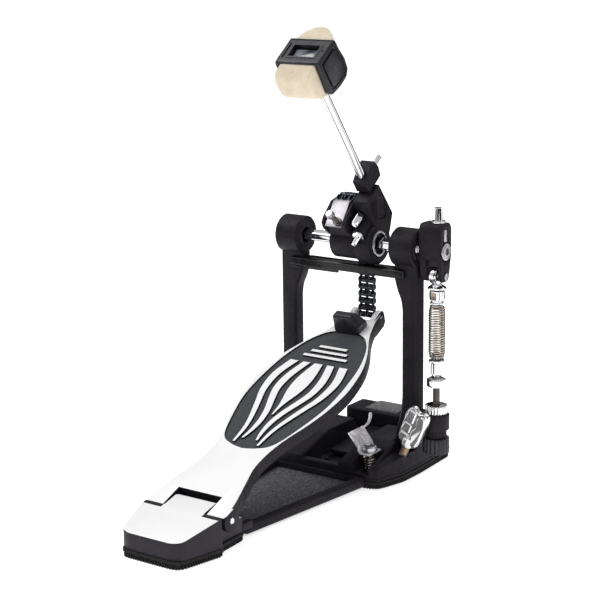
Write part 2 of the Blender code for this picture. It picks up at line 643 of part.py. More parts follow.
def beater():
    """The rod and its two-sided head, in the head's frame with the rod along -Z."""
    cylinder("beater_rod", (0, 0, -170), (0, 0, -7.0), 3.8, CHROME, 24, frame=HEAD, bevel=0.5)
    side = [(-13.5, 0), (14.2, 0), (15.4, -2.5), (15.6, -9.6), (17.4, -21), (16.0, -31), (10.5, -35.3)]
    side += [(0, -35.6), (-13, -33.4), (-16.6, -28.5), (-15.2, -9), (-14.8, -2.5)]
    shell = plate("beater_shell", side, "X", -20.8, 20.8, PLASTIC, HEAD, 1.6)
    cut(shell, cylinder("rod_socket", (0, 0, -40), (0, 0, -6.6), 4.1, PLASTIC, 20, frame=HEAD))
    cut(shell, block("insert_recess", (-12.4, -6.6, -4.6), (12.4, 6.6, 4), PLASTIC, HEAD))
    cut(shell, block("front_felt_seat", (-17.4, -30, -33.2), (17.4, -7.6, -1.6), PLASTIC, HEAD))
    cut(shell, block("rear_felt_seat", (-17.4, 7.6, -33.2), (17.4, 30, -1.2), PLASTIC, HEAD))
    block("beater_insert", (-12, -6.2, -4.2), (12, 6.2, -3.0), PLASTIC, HEAD, 0.4)


def felts():
    """The front felt is rounded from top to bottom, and the rear one from side to side."""
    crown = flowing([(-20, -2.2), (-25.4, -4.6), (-27.8, -10), (-27.8, -19), (-25.4, -26.6), (-20, -31.8)], 3)
    front = [(-8.2, -2.0), (-14.5, -2.0), *crown, (-14.5, -32.8), (-8.2, -32.8)]
    plate("front_felt", front, "X", -16.8, 16.8, FELT, HEAD, 1.8)
    half = [(16.8, 8.2), (16.8, 15.5), (15.6, 19), (13.2, 23), (9.3, 27), (5, 29.6), (1.8, 30.4)]
    plate("rear_felt", mirrored(half), "Z", -32.8, -1.6, FELT, HEAD, 1.8)


# Return spring


def rocker():
    outline = [(-9.5, 219), (-7, 223.5), (7, 223.5), (9.5, 219), (9.5, 196), (6.3, 178), (4, 174), (-4, 174)]
    outline += [(-6.3, 178), (-9.5, 196)]
    body = plate("spring_rocker", outline, "X", 72.2, 93.6, BLACK, bevel=1.2)
    cut(body, disc_x("rocker_hex", 60, 100, 0, SHAFT_Z, 6.1, BLACK, 6))
    cut(body, block("clevis_slot", (79.2, -20, 165), (90.0, 20, 193), BLACK))
    cut(body, disc_x("rocker_pin_hole", 60, 100, 0, ROCKER_PIN_Z, 2.4, BLACK, 16))
    cut(body, block("gauge_slot", (92.2, -3.2, 208), (96, 3.2, 219), BLACK))
    cut(body, disc_x("end_seat", 92.2, 96, 0, SHAFT_Z, 8.9, BLACK, 28))
    disc_x("rocker_end_screw", 92.6, 94.6, 0, SHAFT_Z, 8.5, CHROME, 28, 0.5)
    disc_x("rocker_pin", 73, 93.4, 0, ROCKER_PIN_Z, 2.0, CHROME, 16, 0.3)
    screw = cylinder("rocker_key_screw", (86, 0, 224), (86, 0, 236.5), 4.2, CHROME, 4, bevel=0.5)
    join(screw, cylinder("rocker_washer", (86, 0, 223.9), (86, 0, 225.4), 6.0, CHROME, 20))


def spring_assembly():
    """From the rocker down: eye, upper shackle, coil, lower shackle, rod, nuts and knob, on one axis."""
    axis = place(SPRING_X, SPRING_Y, 0)
    eye = disc_x("spring_eye", 81.4, 87.8, 0, ROCKER_PIN_Z, 7.4, CHROME, 28)
    neck = cylinder("eye_neck", (0, 0, 166.2), (0, 0, 175), 3.2, CHROME, 16, frame=axis)
    rim = [(0, 171.5), (4, 171.5), (8, 168.8), (8, 167.6), (5, 166.2), (0, 166.2)]
    flange = turned("eye_flange", rim, CHROME, axis, 24)
    join(eye, neck, flange)
    cut(eye, disc_x("eye_bore", 75, 92, 0, ROCKER_PIN_Z, 4.3, CHROME, 20))
    upper = [(0, 165.8), (5.4, 165.8), (5.4, 158), (6.6, 157), (6.6, 155), (4, 154), (4, 150), (0, 150)]
    turned("upper_shackle", upper, CHROME, axis, 20)
    turned("coil_spring", coil_profile(), STEEL, axis, 20)
    lower = [(0, 112), (4, 112), (4, 107), (6.8, 106), (6.8, 104), (5.2, 103), (5.2, 94)]
    lower += [(2.6, 90.8), (0, 90.3)]
    turned("lower_shackle", lower, CHROME, axis, 20)
    cylinder("spring_rod", (0, 0, 39.0), (0, 0, 86), 3.0, STEEL, 16, frame=axis)
    cylinder("spring_rod_nut", (0, 0, 82.5), (0, 0, 89.8), 8.4, CHROME, 6, frame=axis, bevel=0.6)
    nut_bore = cylinder("nut_bore", (0, 0, 80), (0, 0, 86.4), 3.3, CHROME, 16, frame=axis)
    cut(bpy.data.objects["spring_rod_nut"], nut_bore)
    lock = cylinder("lock_nut", (0, 0, 59.4), (0, 0, 66.5), 9.75, CHROME, 32, frame=axis, bevel=0.6)
    cut(lock, cylinder("lock_bore", (0, 0, 55), (0, 0, 75), 3.4, CHROME, 16, frame=axis))
    cylinder("tension_knob", (0, 0, 24.5), (0, 0, 38.0), 11.5, PLASTIC, 32, frame=axis, bevel=1.0)


def coil_profile():
    """The coil as one closed sleeve: its outer shape, hollow inside, drawn in at both ends."""
    return [(5.2, 153.6), (6.2, 153.6), (7.2, 149.5), (7.2, 111.5), (6.4, 107.4), (5.2, 107.4), (5.2, 153.6)]


# Hoop clamp


def hoop_clamp():
    """The upper jaw on its lever, the strap that holds it down, and the fulcrum screw with its spring."""
    side = [(48.0, 14.2), (48.0, 31), (50.0, 33), (74, 33), (77, 30), (77, 14.2)]
    jaw = plate("hoop_jaw", side, "X", -38, 38, BLACK, bevel=2.0)
    crown = flowing([(51, 31), (54, 34.6), (60.5, 37), (67, 37), (72.5, 35), (75.5, 31)], 2)
    spread = flowing([(-22, 31), (-18, 34.4), (-10, 36.6), (-2, 37.4), (6, 36.4), (12, 34), (15, 31)], 2)
    dome = plate("jaw_dome", crown, "X", -24, 17, BLACK)
    keep(dome, plate("dome_spread", spread, "Y", 45, 80, BLACK))
    arm = [(-16, 10.5), (-16, 14.5), (46, 17.5), (52, 20), (52, 15), (46, 13)]
    join(jaw, dome, plate("jaw_lever", arm, "X", -13, 13, BLACK, bevel=0.8))
    path = [(48.5, 26.2), (47.0, 27.2), (36.2, 27.2), (34.6, 28.4), (34.0, 32.2), (24.6, 43.2), (23.0, 42.0)]
    path += [(32.2, 31.0), (32.9, 27.4), (35.4, 25.0), (47.0, 25.0)]
    strap = plate("jaw_strap", path, "Y", -42.5, -24.5, CHROME, bevel=0.3)
    lip = [(36.6, 26.2), (38.4, 29.6), (36.6, 33.8), (27.2, 45.2), (24.0, 42.6), (33.4, 31.6), (33.9, 28.0)]
    hook = flowing([(27.0, 42.0), (31.2, 44.8), (34.8, 48.6), (36.4, 52.5), (37.0, 57.5)], 3)
    hook += [(x - 1.5, z + 0.9) for x, z in reversed(hook)]
    join(
        strap,
        plate("strap_lip", lip, "Y", -26.3, -24.5, CHROME),
        plate("strap_hook", hook, "Y", -29.0, -24.8, CHROME),
    )
    cut(strap, cylinder("strap_hole", (SCREW_X, SCREW_Y, 15), (SCREW_X, SCREW_Y, 45), 3.3, CHROME, 16))
    profile = [(0, 31.4), (4.4, 31.4), (4.7, 32.6), (6.2, 31.8), (6.2, 28.2), (2.6, 28.2), (2.6, 8.0)]
    profile += [(0, 8.0)]
    turned("fulcrum_screw", profile, CHROME, place(SCREW_X, SCREW_Y, 0), 20)
    turned(
        "fulcrum_spring", [(3.2, 23.4), (5.4, 23.4), (5.4, 11.4), (3.2, 11.4), (3.2, 23.4)],
        STEEL, place(SCREW_X, SCREW_Y, 0), 16,
    )


def wing_bolt():
    """A threaded bolt with a broad two-lobed wing, leaning outwards."""
    turn = Vector((0, 0, 1)).rotation_difference(WING_AXIS).to_matrix().to_4x4()
    frame = Matrix.Translation(Vector(WING_BASE) * MM) @ turn
    bolt = cylinder("wing_bolt", (0, 0, -8), (0, 0, 14), 3.9, STEEL, 16, frame=frame)
    boss = cylinder("wing_boss", (0, 0, 11), (0, 0, 26), 6.2, CHROME, 20, 5.4, frame=frame)
    lobes = flowing([
        (0, 12.6), (6.0, 12), (9.0, 15.5), (10.2, 20), (10.3, 34), (10.7, 42), (8.6, 48.5), (5.0, 50.0),
        (2.0, 46.5), (0, 44),
    ], 2)
    wings = plate("wings", mirrored(lobes), "Y", -3.4, 3.4, CHROME, frame, 0.9)
    join(bolt, boss, wings)


BODIES = {
    "shaft_turn": (
        (0, 0, SHAFT_Z),
        ["drive_shaft", "chain_cam", "chain_wrap", "chain_clamp_plate", "chain_clamp_screw", "beater_holder",
         "holder_ring", "rod_key_screw", "hub_key_screw", "rod_clamp", "clamp_key_screw", "spring_rocker",
         "rocker_end_screw", "rocker_pin", "rocker_key_screw"],
    ),
    "footboard_tilt": ((0, HINGE_Y, HINGE_Z), ["footboard", "footboard_pad", "toe_stop", "chain_pin"]),
    "chain_run_swing": ((0, CHAIN_Y, CHAIN_FOOT_Z), ["chain_run"]),
    "beater_slide": (
        (BEATER_X, HEAD_Y, HEAD_Z),
        ["beater_rod", "beater_shell", "beater_insert", "front_felt", "rear_felt"],
    ),
    "spring_swing": ((SPRING_X, SPRING_Y, ANCHOR_Z), ["lower_shackle"]),
    "spring_stretch": ((SPRING_X, SPRING_Y, ROCKER_PIN_Z), ["spring_eye", "upper_shackle"]),
    "tension_adjust": ((SPRING_X, SPRING_Y, 38), ["tension_knob"]),
    "lock_nut_turn": ((SPRING_X, SPRING_Y, 65), ["lock_nut"]),
    "jaw_tilt": ((0, JAW_Y, JAW_Z), ["hoop_jaw", "jaw_strap"]),
    "wing_turn": (WING_BASE, ["wing_bolt"]),
}


def hang_on_axes():
    """Parents each moving piece to an empty on its joint's axis."""
    for k in range(FREE_LINKS):
        y, z = on_cam((k + 1) * LINK_ANGLE)
        BODIES[f"chain_link_{k + 1}_bend"] = ((0, y, z), [f"chain_link_{k + 1}"])
    for name, (at, pieces) in BODIES.items():
        pivot = bpy.data.objects.new(name, None)
        PARTS.objects.link(pivot)
        pivot.location = Vector(at) * MM
        bpy.context.view_layer.update()
        for piece in pieces:
            obj = bpy.data.objects[piece]
            obj.parent = pivot
            obj.matrix_parent_inverse = pivot.matrix_world.inverted()


rubber_soles()
front_casting()
base_plate()
heel_block()
post(-1)
spring_lug(post(1))
cross_bar()
footboard()
footboard_pad()
toe_stop()
free_links()
chain_wrap()
chain_run()
chain_cam()
clamp_plate()
drive_shaft()
beater_holder()
rod_clamp()
beater()
felts()
rocker()
spring_assembly()
hoop_clamp()
wing_bolt()
hang_on_axes()
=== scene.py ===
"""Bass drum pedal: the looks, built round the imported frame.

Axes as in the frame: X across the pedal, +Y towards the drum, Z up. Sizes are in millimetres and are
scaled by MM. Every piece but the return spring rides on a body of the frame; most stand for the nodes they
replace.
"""

import json
import math
import random

import bmesh
import bpy
from mathutils import Matrix, Vector


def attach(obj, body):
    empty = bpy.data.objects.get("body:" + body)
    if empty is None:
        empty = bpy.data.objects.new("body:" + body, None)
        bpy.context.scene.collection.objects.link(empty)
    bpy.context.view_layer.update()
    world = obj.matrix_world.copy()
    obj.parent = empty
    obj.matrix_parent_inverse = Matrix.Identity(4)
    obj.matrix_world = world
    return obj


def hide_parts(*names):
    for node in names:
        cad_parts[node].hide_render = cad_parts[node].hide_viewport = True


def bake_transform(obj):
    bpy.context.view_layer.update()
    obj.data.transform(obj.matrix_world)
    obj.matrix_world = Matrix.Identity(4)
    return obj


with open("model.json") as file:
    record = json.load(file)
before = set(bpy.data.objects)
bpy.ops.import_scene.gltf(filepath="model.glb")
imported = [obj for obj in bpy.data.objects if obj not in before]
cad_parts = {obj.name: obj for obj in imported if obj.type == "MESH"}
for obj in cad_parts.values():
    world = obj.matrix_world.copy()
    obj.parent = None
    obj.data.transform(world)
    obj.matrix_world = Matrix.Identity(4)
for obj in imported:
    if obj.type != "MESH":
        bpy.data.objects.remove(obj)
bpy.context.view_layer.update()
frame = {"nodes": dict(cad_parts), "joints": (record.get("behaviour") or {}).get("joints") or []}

MM = 0.001
WELD = 0.000002
SHARP = 32.0
GAP = 0.4
JOINTS = {joint["name"]: joint for joint in frame["joints"]}


def joint_at(name):
    """A joint's place in millimetres."""
    return Vector(JOINTS[name]["pos_m"]) / MM


SHAFT = joint_at("shaft_turn")
HINGE = joint_at("footboard_tilt")
CHAIN_FOOT = joint_at("chain_run_swing")
HEAD_AT = joint_at("beater_turn")
SPRING = joint_at("spring_swing")
WING_BASE = joint_at("wing_turn")
WING_AXIS = Vector(JOINTS["wing_turn"]["axis"]).normalized()
ROD_AXIS = Vector(JOINTS["beater_turn"]["axis"]).normalized()
BEATER_LEAN = math.degrees(math.atan2(-ROD_AXIS.y, ROD_AXIS.z))
BOARD_TILT = 21.2
BOARD_AT = Vector((0, -219.0, 36.46))
CHAIN_PITCH = 6.35
CAM_Y, CAM_Z, CAM_RADIUS = -3.0, 211.0, 28.0
FREE_LINKS = 4
PIN_Z = 179.0
SCREW_X, SCREW_Y = 41.5, -36.5
HINGE_BORE, CHAIN_BORE = 2.8, 2.0
TONGUE_LEFT, TONGUE_RIGHT = -18.9, 20.7

CHROME, CASTING, PLASTIC = "chrome_hardware", "black_casting", "black_plastic"

AXES = {
    "X": Matrix(((0, 0, 1), (1, 0, 0), (0, 1, 0))),
    "Y": Matrix(((1, 0, 0), (0, 0, -1), (0, 1, 0))),
    "Z": Matrix.Identity(3),
}


def place(x, y, z, tilt=0.0):
    """A frame at a point in millimetres, tilted about +X by some degrees."""
    return Matrix.Translation(Vector((x, y, z)) * MM) @ Matrix.Rotation(math.radians(tilt), 4, "X")


WORLD = Matrix.Identity(4)
BOARD = place(*BOARD_AT, BOARD_TILT)
HEAD = place(*HEAD_AT, BEATER_LEAN)
SPRING_LINE = place(SPRING.x, SPRING.y, 0)
LEAN = Vector((0, 0, 1)).rotation_difference(WING_AXIS).to_matrix().to_4x4()
WING = Matrix.Translation(WING_BASE * MM) @ LEAN


# Shader helpers


def node(tree, kind, **values):
    """A node with values set on its inputs, or else on the node itself."""
    made = tree.nodes.new(kind)
    for key, value in values.items():
        if key in made.inputs:
            made.inputs[key].default_value = value
        else:
            setattr(made, key, value)
    return made


def ramp(tree, source, low, high, start=0.35, end=0.65):
    """Two values or colours spread over a factor."""
    made = tree.nodes.new("ShaderNodeValToRGB")
    ends = made.color_ramp.elements
    for element, at, value in zip(ends, (start, end), (low, high)):
        element.position = at
        element.color = (*value, 1.0) if isinstance(value, tuple) else (value, value, value, 1.0)
    tree.links.new(source, made.inputs["Fac"])
    return made.outputs["Color"]


def noise(tree, scale, detail=4.0, rough=0.6, stretch=None):
    """Noise in the object's own space, with scale per metre; stretch scales its axes."""
    where = tree.nodes.new("ShaderNodeTexCoord").outputs["Object"]
    if stretch:
        mapped = node(tree, "ShaderNodeMapping")
        mapped.inputs["Scale"].default_value = stretch
        tree.links.new(where, mapped.inputs["Vector"])
        where = mapped.outputs["Vector"]
    made = node(tree, "ShaderNodeTexNoise", Scale=scale, Detail=detail, Roughness=rough)
    tree.links.new(where, made.inputs["Vector"])
    return made.outputs["Fac"]


def speckle(tree, scale):
    """Distance to the middle of small cells, with scale per metre."""
    where = tree.nodes.new("ShaderNodeTexCoord").outputs["Object"]
    made = node(tree, "ShaderNodeTexVoronoi", Scale=scale)
    tree.links.new(where, made.inputs["Vector"])
    return made.outputs["Distance"]


def feed(tree, socket, value):
    """Sets a socket to a number or a colour, or links an output to it."""
    if isinstance(value, (tuple, float)):
        socket.default_value = (*value, 1.0) if isinstance(value, tuple) else value
    else:
        tree.links.new(value, socket)


def mixed(tree, factor, a, b):
    """b over a by a factor; each is an output, a number or a colour."""
    made = node(tree, "ShaderNodeMix", data_type="RGBA")
    for socket, value in ((made.inputs["Factor"], factor), (made.inputs[6], a), (made.inputs[7], b)):
        feed(tree, socket, value)
    return made.outputs[2]


def maths(tree, operation, *values):
    """The result of an operation on outputs or numbers."""
    made = node(tree, "ShaderNodeMath", operation=operation)
    for socket, value in zip(made.inputs, values):
        feed(tree, socket, value)
    return made.outputs[0]


def bumped(tree, shader, *layers):
    """Stacks height layers, each (output, strength, distance in mm), under the shader's normal."""
    below = None
    for height, strength, distance in layers:
        bump = node(tree, "ShaderNodeBump", Strength=strength, Distance=distance * MM)
        tree.links.new(height, bump.inputs["Height"])
        if below:
            tree.links.new(below, bump.inputs["Normal"])
        below = bump.outputs["Normal"]
    tree.links.new(below, shader.inputs["Normal"])


def base_material(name, roughness, metallic=0.0, **constants):
    """A material with constants on its shader, and its node tree."""
    made = bpy.data.materials.new(name)
    made.use_nodes = True
    shader = made.node_tree.nodes["Principled BSDF"]
    shader.inputs["Roughness"].default_value = roughness
    shader.inputs["Metallic"].default_value = metallic
    for key, value in constants.items():
        shader.inputs[key.replace("_", " ")].default_value = value
    return made, made.node_tree


def dressed(made, colour, roughness, *layers):
    """The material with its colour, roughness and height layers linked."""
    tree = made.node_tree
    shader = tree.nodes["Principled BSDF"]
    tree.links.new(colour, shader.inputs["Base Color"])
    tree.links.new(roughness, shader.inputs["Roughness"])
    bumped(tree, shader, *layers)
    return made


def edge_wear(tree, colour, worn, start=0.54, end=0.62):
    """The worn colour along convex edges, over the colour."""
    pointiness = tree.nodes.new("ShaderNodeNewGeometry").outputs["Pointiness"]
    return mixed(tree, ramp(tree, pointiness, 0.0, 1.0, start, end), colour, worn)


def powder_coat(name, dark, light, roughness=(0.42, 0.60), grain=2400, bump=0.35, specular=0.16):
    """Painted cast metal: fine pebbled grain, slow colour drift, pale flecks and slightly paler edges."""
    made, tree = base_material(name, 0.5, Specular_IOR_Level=specular)
    drift = ramp(tree, noise(tree, 45, 3), dark, light, 0.38, 0.62)
    worn = tuple(min(1.0, c * 1.8 + 0.004) for c in light)
    fleck = tuple(c * 2.6 for c in light)
    grainy = mixed(tree, ramp(tree, noise(tree, grain * 0.45, 2), 0.0, 0.6, 0.50, 0.70), drift, fleck)
    gloss = ramp(tree, noise(tree, 300, 5), *roughness)
    pebbles = (noise(tree, grain * 0.5, 2), bump, 0.2)
    return dressed(made, edge_wear(tree, grainy, worn), gloss, pebbles, (noise(tree, 120, 2), 0.08, 0.2))


def satin_metal(name, low, high, roughness=(0.26, 0.38), grain=900, bump=0.05, stretch=None, metallic=1.0):
    """Bare metal with fine grain or brushing and faint smudges."""
    made, tree = base_material(name, roughness[0], metallic)
    tone = ramp(tree, noise(tree, 30, 4), low, high)
    gloss = ramp(tree, noise(tree, 160, 5), *roughness)
    return dressed(made, tone, gloss, (noise(tree, grain, 3, stretch=stretch), bump, 0.05))


def silver_paint(name):
    """Bright sprayed silver: fine flake in a pale lacquer, a little rubbed in patches."""
    made, tree = base_material(name, 0.42, 0.06, Specular_IOR_Level=0.5)
    flakes = ramp(tree, speckle(tree, 1900), 0.0, 1.0, 0.15, 0.75)
    drift = ramp(tree, noise(tree, 26, 4), (0.915, 0.92, 0.922), (0.945, 0.945, 0.945))
    tone = mixed(tree, flakes, drift, (0.97, 0.97, 0.97))
    gloss = ramp(tree, noise(tree, 150, 5), 0.36, 0.50)
    return dressed(made, tone, gloss, (noise(tree, 1500, 3), 0.08, 0.05), (noise(tree, 60, 2), 0.04, 0.2))


def spring_steel(name):
    """Warm drawn wire: straw to grey, with dull patches."""
    made, tree = base_material(name, 0.25, 1.0)
    tone = ramp(tree, noise(tree, 220, 3), (0.22, 0.18, 0.15), (0.62, 0.56, 0.49))
    return dressed(made, tone, ramp(tree, noise(tree, 400, 4), 0.10, 0.26), (noise(tree, 900, 2), 0.06, 0.05))


def blued_steel(name):
    """Oiled blue-black chain steel, bright where it rubs."""
    made, tree = base_material(name, 0.22, 1.0)
    tone = ramp(tree, noise(tree, 180, 3), (0.016, 0.019, 0.027), (0.070, 0.078, 0.098))
    tone = edge_wear(tree, tone, (0.50, 0.53, 0.58), 0.56, 0.68)
    gloss = ramp(tree, noise(tree, 350, 4), 0.12, 0.34)
    return dressed(made, tone, gloss, (noise(tree, 1200, 2), 0.06, 0.05))


def rubber(name, dark, light, grain, bump, roughness=(0.72, 0.92)):
    """Matt moulded rubber with a pebbled skin."""
    made, tree = base_material(name, 0.8, Specular_IOR_Level=0.3)
    tone = mixed(tree, ramp(tree, speckle(tree, grain), 0.0, 1.0, 0.1, 0.7), dark, light)
    gloss = ramp(tree, noise(tree, 240, 4), *roughness)
    return dressed(made, tone, gloss, (speckle(tree, grain), bump, 0.15), (noise(tree, 90, 3), 0.12, 0.2))


def moulded_plastic(name, dark, light, roughness):
    """Satin moulded plastic with flow marks."""
    made, tree = base_material(name, 0.3, Specular_IOR_Level=0.35, Coat_Weight=0.08)
    tone = ramp(tree, noise(tree, 28, 3, stretch=(1, 1, 3)), dark, light)
    gloss = ramp(tree, noise(tree, 190, 4), *roughness)
    return dressed(made, tone, gloss, (noise(tree, 1300, 2), 0.05, 0.05), (noise(tree, 60, 2), 0.06, 0.3))


def felt_cloth(name):
    """Dense cream felt: fibrous, mottled, with a soft sheen."""
    made, tree = base_material(name, 0.95, Sheen_Weight=0.35, Sheen_Roughness=0.6, Specular_IOR_Level=0.15)
    patches = ramp(tree, noise(tree, 70, 4), (0.61, 0.51, 0.36), (0.72, 0.63, 0.475))
    fibres = noise(tree, 700, 6, 0.75, (1, 0.25, 1))
    tone = mixed(tree, ramp(tree, fibres, 0.0, 0.45, 0.45, 0.75), patches, (0.83, 0.75, 0.61))
    gloss = ramp(tree, fibres, 0.86, 1.0)
    return dressed(made, tone, gloss, (fibres, 0.5, 0.3), (noise(tree, 160, 4), 0.4, 0.6))


def smoky_insert(name):
    """Glossy grey window with cloudy swirls."""
    made, tree = base_material(name, 0.1, Coat_Weight=0.8, Coat_Roughness=0.05)
    wave = node(tree, "ShaderNodeTexWave", Scale=18.0, Distortion=9.0, Detail=3.0)
    where = tree.nodes.new("ShaderNodeTexCoord").outputs["Object"]
    tree.links.new(where, wave.inputs["Vector"])
    tone = ramp(tree, wave.outputs["Fac"], (0.035, 0.042, 0.052), (0.20, 0.23, 0.26), 0.1, 0.95)
    return dressed(made, tone, ramp(tree, noise(tree, 200, 3), 0.06, 0.2), (noise(tree, 150, 2), 0.1, 0.1))


MATERIALS = {
    "black_casting": powder_coat("black_powder_coat", (0.0058, 0.0047, 0.0070), (0.0122, 0.0102, 0.0142)),
    "gloss_bar": powder_coat(
        "gloss_black", (0.004, 0.004, 0.005), (0.009, 0.009, 0.010), (0.10, 0.22), 900, 0.05, 0.26
    ),
    "grey_floor": rubber(
        "grey_floor_coat", (0.011, 0.012, 0.014), (0.118, 0.119, 0.128), 560, 0.9, (0.6, 0.85)
    ),
    "silver_board": silver_paint("silver_paint"),
    "chrome_hardware": satin_metal("chrome", (0.70, 0.70, 0.72), (0.82, 0.82, 0.84), (0.04, 0.12), 500, 0.03),
    "spring_wire": spring_steel("spring_steel"),
    "chain_steel": blued_steel("blued_chain_steel"),
    "sole_rubber": rubber("sole_rubber", (0.005, 0.005, 0.006), (0.015, 0.014, 0.015), 700, 0.3),
    "grip_pad": rubber("grip_pad", (0.030, 0.033, 0.038), (0.062, 0.066, 0.073), 1100, 0.45, (0.55, 0.8)),
    "black_plastic": moulded_plastic(
        "black_plastic", (0.008, 0.0072, 0.0095), (0.020, 0.018, 0.0235), (0.25, 0.42)
    ),
    "insert_plastic": smoky_insert("smoky_insert"),
    "beater_felt": felt_cloth("cream_felt"),
}
NICKEL = satin_metal("dull_nickel", (0.34, 0.34, 0.37), (0.56, 0.56, 0.60), (0.20, 0.36), 700, 0.08)
CAST_NICKEL = satin_metal(
    "cast_nickel", (0.86, 0.87, 0.88), (0.97, 0.97, 0.97), (0.08, 0.18), 320, 0.10, metallic=0.82
)
SATIN_STRAP = satin_metal(
    "satin_strap", (0.78, 0.76, 0.79), (0.97, 0.96, 0.98), (0.20, 0.32), 900, 0.02, metallic=0.5
)
STRAP_STEEL = satin_metal(
    "brushed_strap", (0.17, 0.165, 0.18), (0.36, 0.35, 0.37), (0.26, 0.40), 900, 0.08, (1, 0.2, 1)
)
CROWN_COAT = rubber("crown_coat", (0.045, 0.046, 0.048), (0.20, 0.20, 0.205), 800, 0.8, (0.6, 0.85))
BRASS = satin_metal("dull_brass", (0.36, 0.25, 0.15), (0.66, 0.52, 0.38), (0.25, 0.45), 700, 0.1)
# Dark oiled steel for the threads, also used as painted shade in the screw recess and the hex socket.
DARK_THREAD_AND_SHADE = satin_metal("oiled_thread_and_painted_shade", (0.06, 0.055, 0.05), (0.22, 0.20, 0.18), (0.2, 0.4), 600, 0.1)


# Mesh helpers


def added(name, data, matrix=WORLD):
    """A new object in the scene."""
    obj = bpy.data.objects.new(name, data)
    bpy.context.scene.collection.objects.link(obj)
    obj.matrix_world = matrix
    return obj


def from_bmesh(name, mesh, matrix=WORLD):
    """An object made from a mesh under construction, which is freed."""
    data = bpy.data.meshes.new(name)
    mesh.to_mesh(data)
    mesh.free()
    return added(name, data, matrix)


def closed(name, mesh, matrix=WORLD):
    """An object from a closed mesh, with its faces turned outwards."""
    bmesh.ops.recalc_face_normals(mesh, faces=mesh.faces)
    return from_bmesh(name, mesh, matrix)


def settled(obj):
    """The object with its modifiers applied, or its curve made a welded mesh."""
    bpy.context.view_layer.update()
    data = bpy.data.meshes.new_from_object(obj.evaluated_get(bpy.context.evaluated_depsgraph_get()))
    if obj.type == "MESH":
        obj.modifiers.clear()
        obj.data = data
        return obj
    mesh = bmesh.new()
    mesh.from_mesh(data)
    bmesh.ops.remove_doubles(mesh, verts=mesh.verts, dist=0.000001)
    bmesh.ops.dissolve_limit(mesh, angle_limit=0.0005, verts=mesh.verts, edges=mesh.edges)
    name, world = obj.name, obj.matrix_world.copy()
    bpy.data.objects.remove(obj)
    return closed(name, mesh, world)


def rounded(obj, width, segments=3):
    """Rounds the edges that turn by more than SHARP degrees."""
    if width:
        bevel = obj.modifiers.new("rounded", "BEVEL")
        bevel.width = width * MM
        bevel.segments = segments
        bevel.limit_method = "ANGLE"
        bevel.angle_limit = math.radians(SHARP)
        bevel.use_clamp_overlap = True
        settled(obj)
    return obj


def block(name, low, high, matrix=WORLD, bevel=0.0):
    """A box between two corners."""
    low, high = Vector(low) * MM, Vector(high) * MM
    mesh = bmesh.new()
    bmesh.ops.create_cube(mesh, size=1.0)
    bmesh.ops.scale(mesh, vec=high - low, verts=mesh.verts)
    return rounded(from_bmesh(name, mesh, matrix @ Matrix.Translation((low + high) / 2)), bevel)


def cylinder(name, start, end, radius, sides=48, end_radius=None, matrix=WORLD, bevel=0.0):
    """A round bar or a cone between two points."""
    start, end = Vector(start) * MM, Vector(end) * MM
    mesh = bmesh.new()
    tip = radius if end_radius is None else end_radius
    length = (end - start).length
    bmesh.ops.create_cone(
        mesh, cap_ends=True, segments=sides, radius1=radius * MM, radius2=tip * MM, depth=length
    )
    turn = (end - start).to_track_quat("Z", "Y").to_matrix().to_4x4()
    return rounded(from_bmesh(name, mesh, matrix @ Matrix.Translation((start + end) / 2) @ turn), bevel)


def span(side, near, far):
    """The lower and the higher X of a piece on one side, between two distances from the middle."""
    return sorted((near * side, far * side))


def disc_x(name, low_x, high_x, y, z, radius, sides=64, bevel=0.0):
    """A disc or bar whose axis runs across the pedal."""
    return cylinder(name, (low_x, y, z), (high_x, y, z), radius, sides, bevel=bevel)


def turned(name, profile, matrix=WORLD, steps=48):
    """A profile of (radius, height) points turned about the frame's Z and closed on its axis."""
    mesh = bmesh.new()
    rings = []
    for r, z in profile:
        if r < 0.001:
            rings.append([mesh.verts.new((0, 0, z * MM))] * steps)
            continue
        turns = [2 * math.pi * k / steps for k in range(steps)]
        rings.append([mesh.verts.new((r * MM * math.cos(a), r * MM * math.sin(a), z * MM)) for a in turns])
    for upper, lower in zip(rings, rings[1:]):
        for k in range(steps):
            corners = [upper[k], lower[k], lower[(k + 1) % steps], upper[(k + 1) % steps]]
            mesh.faces.new(list(dict.fromkeys(corners)))
    return closed(name, mesh, matrix)


def plate(name, outlines, axis, low, high, matrix=WORLD, bevel=0.0, segments=3):
    """A flat outline, with any inner outlines as holes, between two heights along an axis.

    Points are (y, z) for an X plate, (x, z) for a Y plate and (x, y) for a Z plate.
    """
    if not isinstance(outlines[0], list):
        outlines = [outlines]
    data = bpy.data.curves.new(name, "CURVE")
    data.dimensions = "2D"
    data.fill_mode = "BOTH"
    data.extrude = (high - low) / 2 * MM
    for outline in outlines:
        spline = data.splines.new("POLY")
        spline.points.add(len(outline) - 1)
        for point, (a, b) in zip(spline.points, outline):
            point.co = (a * MM, b * MM, 0.0, 1.0)
        spline.use_cyclic_u = True
    middle = Vector([(low + high) / 2 * MM * (axis == a) for a in "XYZ"])
    curve = added(name, data, matrix @ Matrix.Translation(middle) @ AXES[axis].to_4x4())
    return rounded(settled(curve), bevel, segments)


